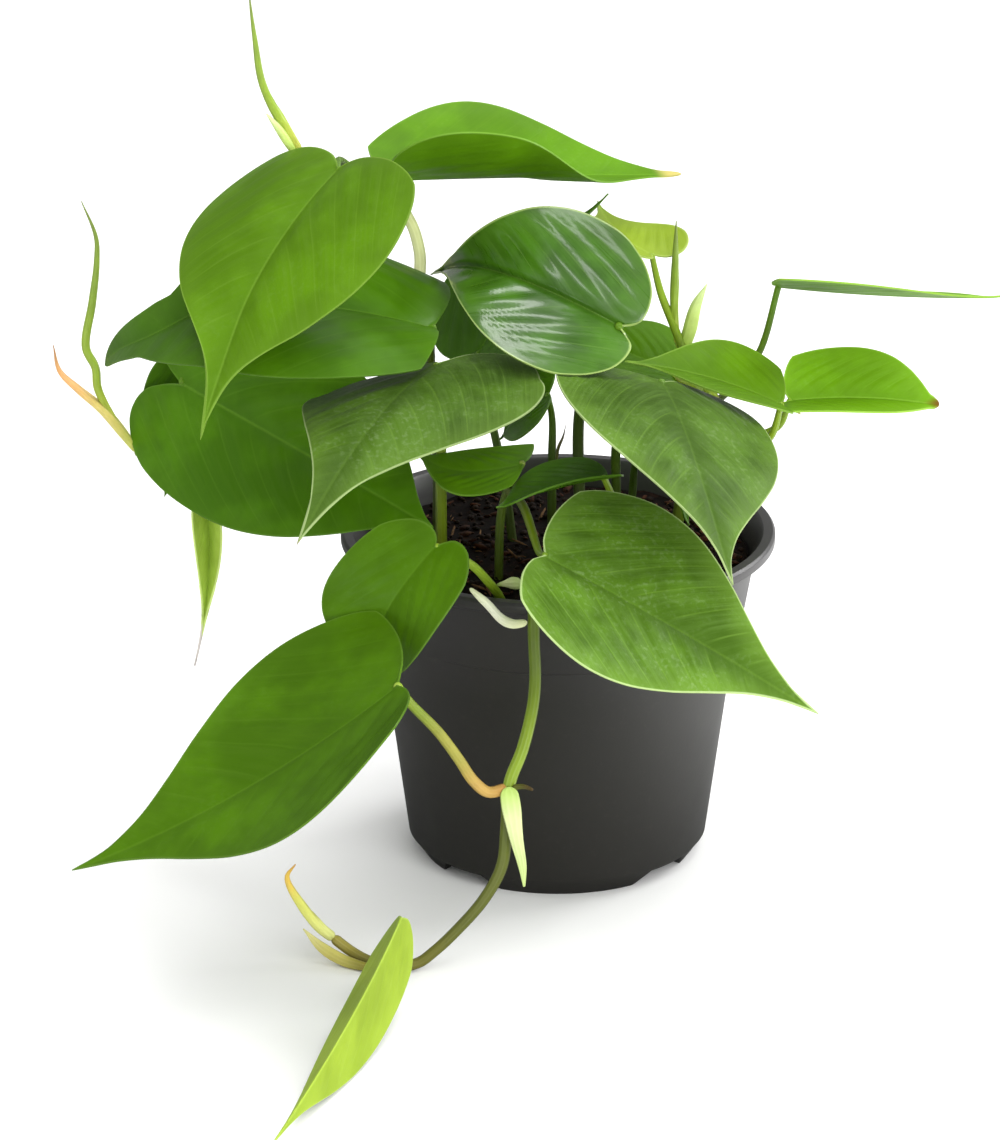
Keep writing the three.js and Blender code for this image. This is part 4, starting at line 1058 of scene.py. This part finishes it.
class PLANT_OT_shoots(bpy.types.Operator):
    """Models the rolled-up new leaves and the papery sheaths"""

    bl_idname = "plant.shoots"
    bl_label = "New leaves and sheaths"

    def execute(self, context):
        made = skins(SHOOTS)
        for name, shoot in SHOOTS.items():
            tube = make_tube(f"rolled_leaf_{name}", shoot["route"], shoot["radii"], seam=0.8)
            finish(tube, f"shoot_{name}", "leaf_young", made[shoot["look"]])
            shade(tube)
        made = skins(SHEATHS | SCRAPS)
        for name, sheath in SHEATHS.items():
            tube = make_tube(
                f"papery_sheath_{name}", sheath["route"], sheath["radii"], flat=sheath["flat"],
                reach=0.1, boat=0.4,
            )
            finish(tube, f"sheath_{name}", "sheath_papery", made[sheath["look"]])
            shade(tube)
        for name, scrap in SCRAPS.items():
            tube = make_tube(
                f"dry_{name}", scrap["route"], scrap["radii"], flat=scrap["flat"], reach=0, boat=0.2
            )
            finish(tube, None, "sheath_papery", made[scrap["look"]])
            shade(tube)
        return {"FINISHED"}


# ---- Pot and soil ----
# Half of the pot's section, outside from the ground up and back down inside: radius and height.
RIM_TOP = 94
FOOT_RADIUS = 37.5
FLOOR_UNDER, FLOOR_TOP = 5, 6.4
POT_OUTSIDE = [
    (0, 0), (8, 0), (8.7, FLOOR_UNDER), (FOOT_RADIUS, FLOOR_UNDER), (35.1, 0), (FOOT_RADIUS, 0),
    (40.8, 4.65), (41.5, 5.5), (50.2, 70), (51.6, 70.7), (55, 89.7), (59.2, 90.4), (60, 91.2), (60, 93.2),
    (59.3, RIM_TOP), (56.8, RIM_TOP), (56.2, 93.2),
]
POT_INSIDE = [(53.8, 89), (50.4, 71.4), (49, 70), (40.3, FLOOR_TOP), (0, FLOOR_TOP)]
POT_STEPS = 144
ARCHES = 4
ARCH_ANGLE = 49  # degrees from the front to the first arch in the foot ring
ARCH_WIDTH, ARCH_FOOT, ARCH_DEPTH, ARCH_TOP = 13, 22, 16, 4.3
DRAIN_HOLES, DRAIN_CIRCLE, DRAIN_RADIUS = 6, 25, 4
SHARP = 32  # degrees between faces whose edge gets softened

# The soil's section up to SOIL_BLANK, which its top is first drawn at and then lowered or raised from.
SOIL_BLANK, SOIL_RADIUS, SOIL_RINGS, SOIL_STEPS = 80, 52.2, 42, 128
SOIL_FALL = 53  # the radius at which the soil's surface lies 1 mm lower than in the middle
LUMP_WIDTH, LUMP_HEIGHT = 9, 1.1
SOIL_SIDE = [(0, 6.9), (39.8, 6.9), (48.4, 70), (SOIL_RADIUS, SOIL_BLANK)]
LITTER_REACH = 50.5  # how far from the pot's axis the crumbs lie
LITTER_SEED = 11
# What lies on the soil: its name, half its length, width and height, how common it is, and its finish.
LITTER = [
    ("crumb", (1, 1, 0.8), 9, ("dark peat crumb", "130d09", "2a1c12")),
    ("chip", (2.4, 1.3, 0.5), 3, ("reddish pine bark", "24130b", "4a2a18")),
    ("fibre", (3.4, 0.4, 0.35), 1, ("dry plant fibre", "3c2616", "705434")),
]


def spun(name, profile, steps):
    """A round piece: its section drawn point by point and spun about the pot's axis."""
    made = primitive("plane", name, size=0.01)
    bpy.ops.object.mode_set(mode="EDIT")
    bpy.ops.mesh.select_all(action="SELECT")
    bpy.ops.mesh.merge(type="CENTER")
    start = Vector((profile[0][0], 0, profile[0][1])) * MM
    bpy.ops.transform.translate(value=start)
    for (r0, z0), (r1, z1) in zip(profile, profile[1:]):
        bpy.ops.mesh.extrude_region_move(
            TRANSFORM_OT_translate={"value": ((r1 - r0) * MM, 0, (z1 - z0) * MM)}
        )
    bpy.ops.mesh.select_all(action="SELECT")
    bpy.ops.mesh.spin(steps=steps, angle=math.tau, center=(0, 0, 0), axis=(0, 0, 1))
    bpy.ops.object.mode_set(mode="OBJECT")
    weld(made)
    return made


def arch_cutter(index):
    """A wedge that cuts one arch into the foot ring, wider at the ground."""
    cutter = primitive("cube", f"arch_cutter_{index}", size=1)
    angle = math.radians(ARCH_ANGLE - 90 + index * 360 / ARCHES)
    outward = np.array((math.cos(angle), math.sin(angle), 0))
    sideways = np.array((-math.sin(angle), math.cos(angle), 0))
    points = []
    for point in cutter.data.vertices:
        wide, height = (ARCH_WIDTH, ARCH_TOP) if point.co.z > 0 else (ARCH_FOOT, -1)
        points.append(
            outward * (FOOT_RADIUS + point.co.x * ARCH_DEPTH)
            + sideways * point.co.y * wide
            + np.array((0, 0, height))
        )
    put_points(cutter, points)
    return cutter


class PLANT_OT_pot(bpy.types.Operator):
    """Models the nursery pot with its rolled rim, foot ring and drain holes"""

    bl_idname = "plant.pot"
    bl_label = "Pot"

    def execute(self, context):
        pot = spun("nursery_pot", POT_OUTSIDE + POT_INSIDE, POT_STEPS)
        cutters = [arch_cutter(i) for i in range(ARCHES)]
        for i in range(DRAIN_HOLES):
            angle = i * math.tau / DRAIN_HOLES
            x, y = DRAIN_CIRCLE * math.cos(angle), DRAIN_CIRCLE * math.sin(angle)
            cutters.append(primitive(
                "cylinder", f"drain_cutter_{i}", vertices=32, radius=DRAIN_RADIUS * MM, depth=6 * MM,
                location=(x * MM, y * MM, (FLOOR_UNDER + FLOOR_TOP) / 2 * MM),
            ))
        for cutter in cutters:
            apply_modifier(pot, "BOOLEAN", operation="DIFFERENCE", solver="EXACT", object=cutter)
            bpy.data.objects.remove(cutter)
        apply_modifier(
            pot, "BEVEL", width=context.scene.plant.pot.edge, segments=2, limit_method="ANGLE",
            angle_limit=math.radians(SHARP),
        )
        finish(pot, "pot", "pot_plastic", moulded_plastic())
        shade(pot, 35)
        return {"FINISHED"}


def soil_height(x, y):
    """How high the soil's surface lies at a place, in millimetres."""
    top = bpy.context.scene.plant.pot.soil_top / MM
    fall = (math.hypot(x, y) / SOIL_FALL) ** 4
    rough = noise.fractal(Vector((x / LUMP_WIDTH, y / LUMP_WIDTH, 2.5)), 0.9, 2.1, 4)
    return top - fall + LUMP_HEIGHT * rough


class PLANT_OT_soil(bpy.types.Operator):
    """Models the soil and the bits of peat and bark that lie on it"""

    bl_idname = "plant.soil"
    bl_label = "Soil"

    def execute(self, context):
        top = [(r, SOIL_BLANK) for r in np.linspace(0, SOIL_RADIUS, SOIL_RINGS)[::-1]]
        soil = spun("potting_soil", SOIL_SIDE + top, SOIL_STEPS)
        for point in soil.data.vertices:
            if point.co.z > (SOIL_BLANK - 0.1) * MM:
                point.co.z = soil_height(point.co.x / MM, point.co.y / MM) * MM
        finish(soil, "soil", "potting_soil", damp_soil())
        shade(soil)

        kinds = []
        for name, size, _, skin in LITTER:
            kind = primitive("ico_sphere", name, subdivisions=1, radius=1)
            for point in kind.data.vertices:
                point.co *= 1 + 0.35 * noise.noise(point.co * 1.7 + Vector(size) * 5)
                point.co = Vector(a * b for a, b in zip(point.co, size)) * MM
            kind.data.materials.append(bark(*skin))
            kinds.append(kind)
        draw = random.Random(LITTER_SEED)
        bits = []
        for _ in range(context.scene.plant.pot.crumbs):
            kind = draw.choices(kinds, [share for _, _, share, _ in LITTER])[0]
            reach = LITTER_REACH * math.sqrt(draw.random())
            angle = draw.uniform(0, math.tau)
            x, y = reach * math.cos(angle), reach * math.sin(angle)
            bit = kind.copy()
            bit.data = kind.data.copy()
            context.collection.objects.link(bit)
            size = draw.uniform(0.35, 1) ** 1.6 * 1.3
            bit.scale = (size, size, size)
            tilt = (draw.uniform(-0.5, 0.5), draw.uniform(-0.5, 0.5))
            bit.rotation_euler = (*tilt, draw.uniform(0, math.tau))
            bit.location = Vector((x, y, soil_height(x, y) + 0.3)) * MM
            bits.append(bit)
        only(*bits)
        bpy.ops.object.join()
        loose = name_it("soil_crumbs")
        bpy.ops.object.transform_apply(location=True, rotation=True, scale=True)
        shade(loose)
        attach(loose, "root")
        for kind in kinds:
            bpy.data.objects.remove(kind)
        return {"FINISHED"}


# ---- Studio ----
# Places and distances are in metres. Shiny surfaces see the floor dimmed, to this many times the setting
# on either side of the ramp, because the room beside the plant is brighter on the right.
FLOOR_RAMP = (0.0, 0.2)
FLOOR_LEFT, FLOOR_RIGHT = 0.6, 3.4
# Far from the plant the floor glows a little, so that it stays white up to its edge.
GLOW_FROM, GLOW_TO, GLOW = 0.5, 1.8, 0.32
AIM = Vector((0, 0, 0.12))  # where the lights point
CAMERA_PLACE = (-0.016, -1.8684, 0.7948)
CAMERA_TILT = 69.1  # degrees up from straight down
LENS, SENSOR = 228.3, 36  # in millimetres


class PLANT_OT_studio(bpy.types.Operator):
    """Builds the pale floor, the soft light and the camera"""

    bl_idname = "plant.studio"
    bl_label = "Studio"

    def execute(self, context):
        studio = context.scene.plant.studio
        floor = primitive("plane", "studio_floor", size=studio.floor_width)
        made, tree, spot = new_material("matt studio paper")
        fibre = add(tree, "TexNoise", {"Vector": spot, "Scale": 1 / (3 * MM), "Detail": 3})
        bump = add(tree, "Bump", {"Strength": 0.05, "Distance": 0.1 * MM, "Height": fibre})
        mirrored = add(tree, "LightPath", {}, take="Is Glossy Ray")
        rightward = add(tree, "SeparateXYZ", {0: spot}, take=0)
        low, high = FLOOR_RAMP
        rightward = add(tree, "MapRange", {0: rightward, 1: low, 2: high}, **SMOOTH)
        left_part, right_part = (
            (*[c * studio.reflected * share for c in studio.floor], 1) for share in (FLOOR_LEFT, FLOOR_RIGHT)
        )
        dimmed = mixed(tree, left_part, [(rightward, right_part)])
        colour = mixed(tree, (*studio.floor, 1), [(mirrored, dimmed)])
        away = add(tree, "VectorMath", {0: spot}, take="Value", operation="LENGTH")
        glow = add(tree, "MapRange", {0: away, 1: GLOW_FROM, 2: GLOW_TO, 3: 0, 4: GLOW}, **SMOOTH)
        close_material(
            tree, Base_Color=colour, Roughness=0.9, Normal=bump, Emission_Color=linear("ffffff"),
            Emission_Strength=glow,
        )
        floor.data.materials.append(made)

        world = bpy.data.worlds.new("white studio")
        world.use_nodes = True
        tree = world.node_tree
        seen = tree.nodes.new("ShaderNodeLightPath")
        lit = add(tree, "Mix", {0: seen.outputs["Is Glossy Ray"], 2: studio.surround, 3: studio.reflected})
        lit = add(tree, "Mix", {0: seen.outputs["Is Camera Ray"], 2: lit, 3: 1.0})
        tree.nodes["Background"].inputs["Color"].default_value = linear("ffffff")
        tree.links.new(lit, tree.nodes["Background"].inputs["Strength"])
        context.scene.world = world
        context.scene.view_settings.view_transform = "Standard"

        lights = [  # name, place, size, power, and whether shiny surfaces show it
            ("top_light", (0.15, -0.5, 1.6), (1.4, 1.4), studio.key_power, False),
            ("front_light", (0.85, -1.95, 1.0), (1.6, 1.2), studio.front_power, False),
            ("right_light", (1.2, 0.65, 0.85), (0.7, 0.7), studio.right_power, True),
            ("back_light", (0.25, 0.85, 1.35), (1.3, 0.6), studio.back_power, True),
            ("upper_streak", (0.1, 0.12, 1.4), (0.9, 0.18), studio.upper_streak_power, True),
            ("low_streak", (-0.5, -1.3, 0.13), (0.9, 0.14), studio.low_streak_power, True),
        ]
        for name, place, size, power, mirrored in lights:
            lamp = bpy.data.lights.new(name, "AREA")
            lamp.energy = power
            lamp.shape = "RECTANGLE"
            lamp.size, lamp.size_y = size
            holder = bpy.data.objects.new(name, lamp)
            context.collection.objects.link(holder)
            holder.visible_glossy = mirrored
            holder.location = place
            holder.rotation_euler = (AIM - Vector(place)).to_track_quat("-Z", "Y").to_euler()

        eye = bpy.data.cameras.new("camera")
        eye.sensor_width = SENSOR
        eye.lens = LENS
        eye.clip_start = 0.1
        holder = bpy.data.objects.new("camera", eye)
        context.collection.objects.link(holder)
        holder.location = CAMERA_PLACE
        holder.rotation_euler = (math.radians(CAMERA_TILT), 0, 0)
        context.scene.camera = holder
        return {"FINISHED"}


class PLANT_PT_panel(bpy.types.Panel):
    """Lists the steps and the settings of the plant"""

    bl_idname = "PLANT_PT_panel"
    bl_label = "Potted philodendron"
    bl_space_type = "VIEW_3D"
    bl_region_type = "UI"
    bl_category = "Philodendron"

    def draw(self, context):
        plant = context.scene.plant
        groups = (
            (plant.studio, ("plant.studio",)),
            (plant.pot, ("plant.pot", "plant.soil")),
            (plant.foliage, ("plant.leaves", "plant.stems", "plant.shoots")),
        )
        for settings, steps in groups:
            box = self.layout.box()
            for step in steps:
                box.operator(step)
            for name in settings.bl_rna.properties.keys():
                if name not in ("rna_type", "name"):
                    box.prop(settings, name)


CLASSES = (
    PotSettings, FoliageSettings, StudioSettings, PlantSettings, PLANT_OT_studio, PLANT_OT_pot,
    PLANT_OT_soil, PLANT_OT_leaves, PLANT_OT_stems, PLANT_OT_shoots, PLANT_PT_panel,
)


def register():
    for item in CLASSES:
        bpy.utils.register_class(item)
    bpy.types.Scene.plant = PointerProperty(type=PlantSettings)


def unregister():
    del bpy.types.Scene.plant
    for item in reversed(CLASSES):
        bpy.utils.unregister_class(item)


def main():
    """Models the plant step by step."""
    register()
    bpy.ops.plant.studio()
    bpy.ops.plant.pot()
    bpy.ops.plant.soil()
    bpy.ops.plant.leaves()
    bpy.ops.plant.stems()
    bpy.ops.plant.shoots()


if __name__ == "__main__":
    main()
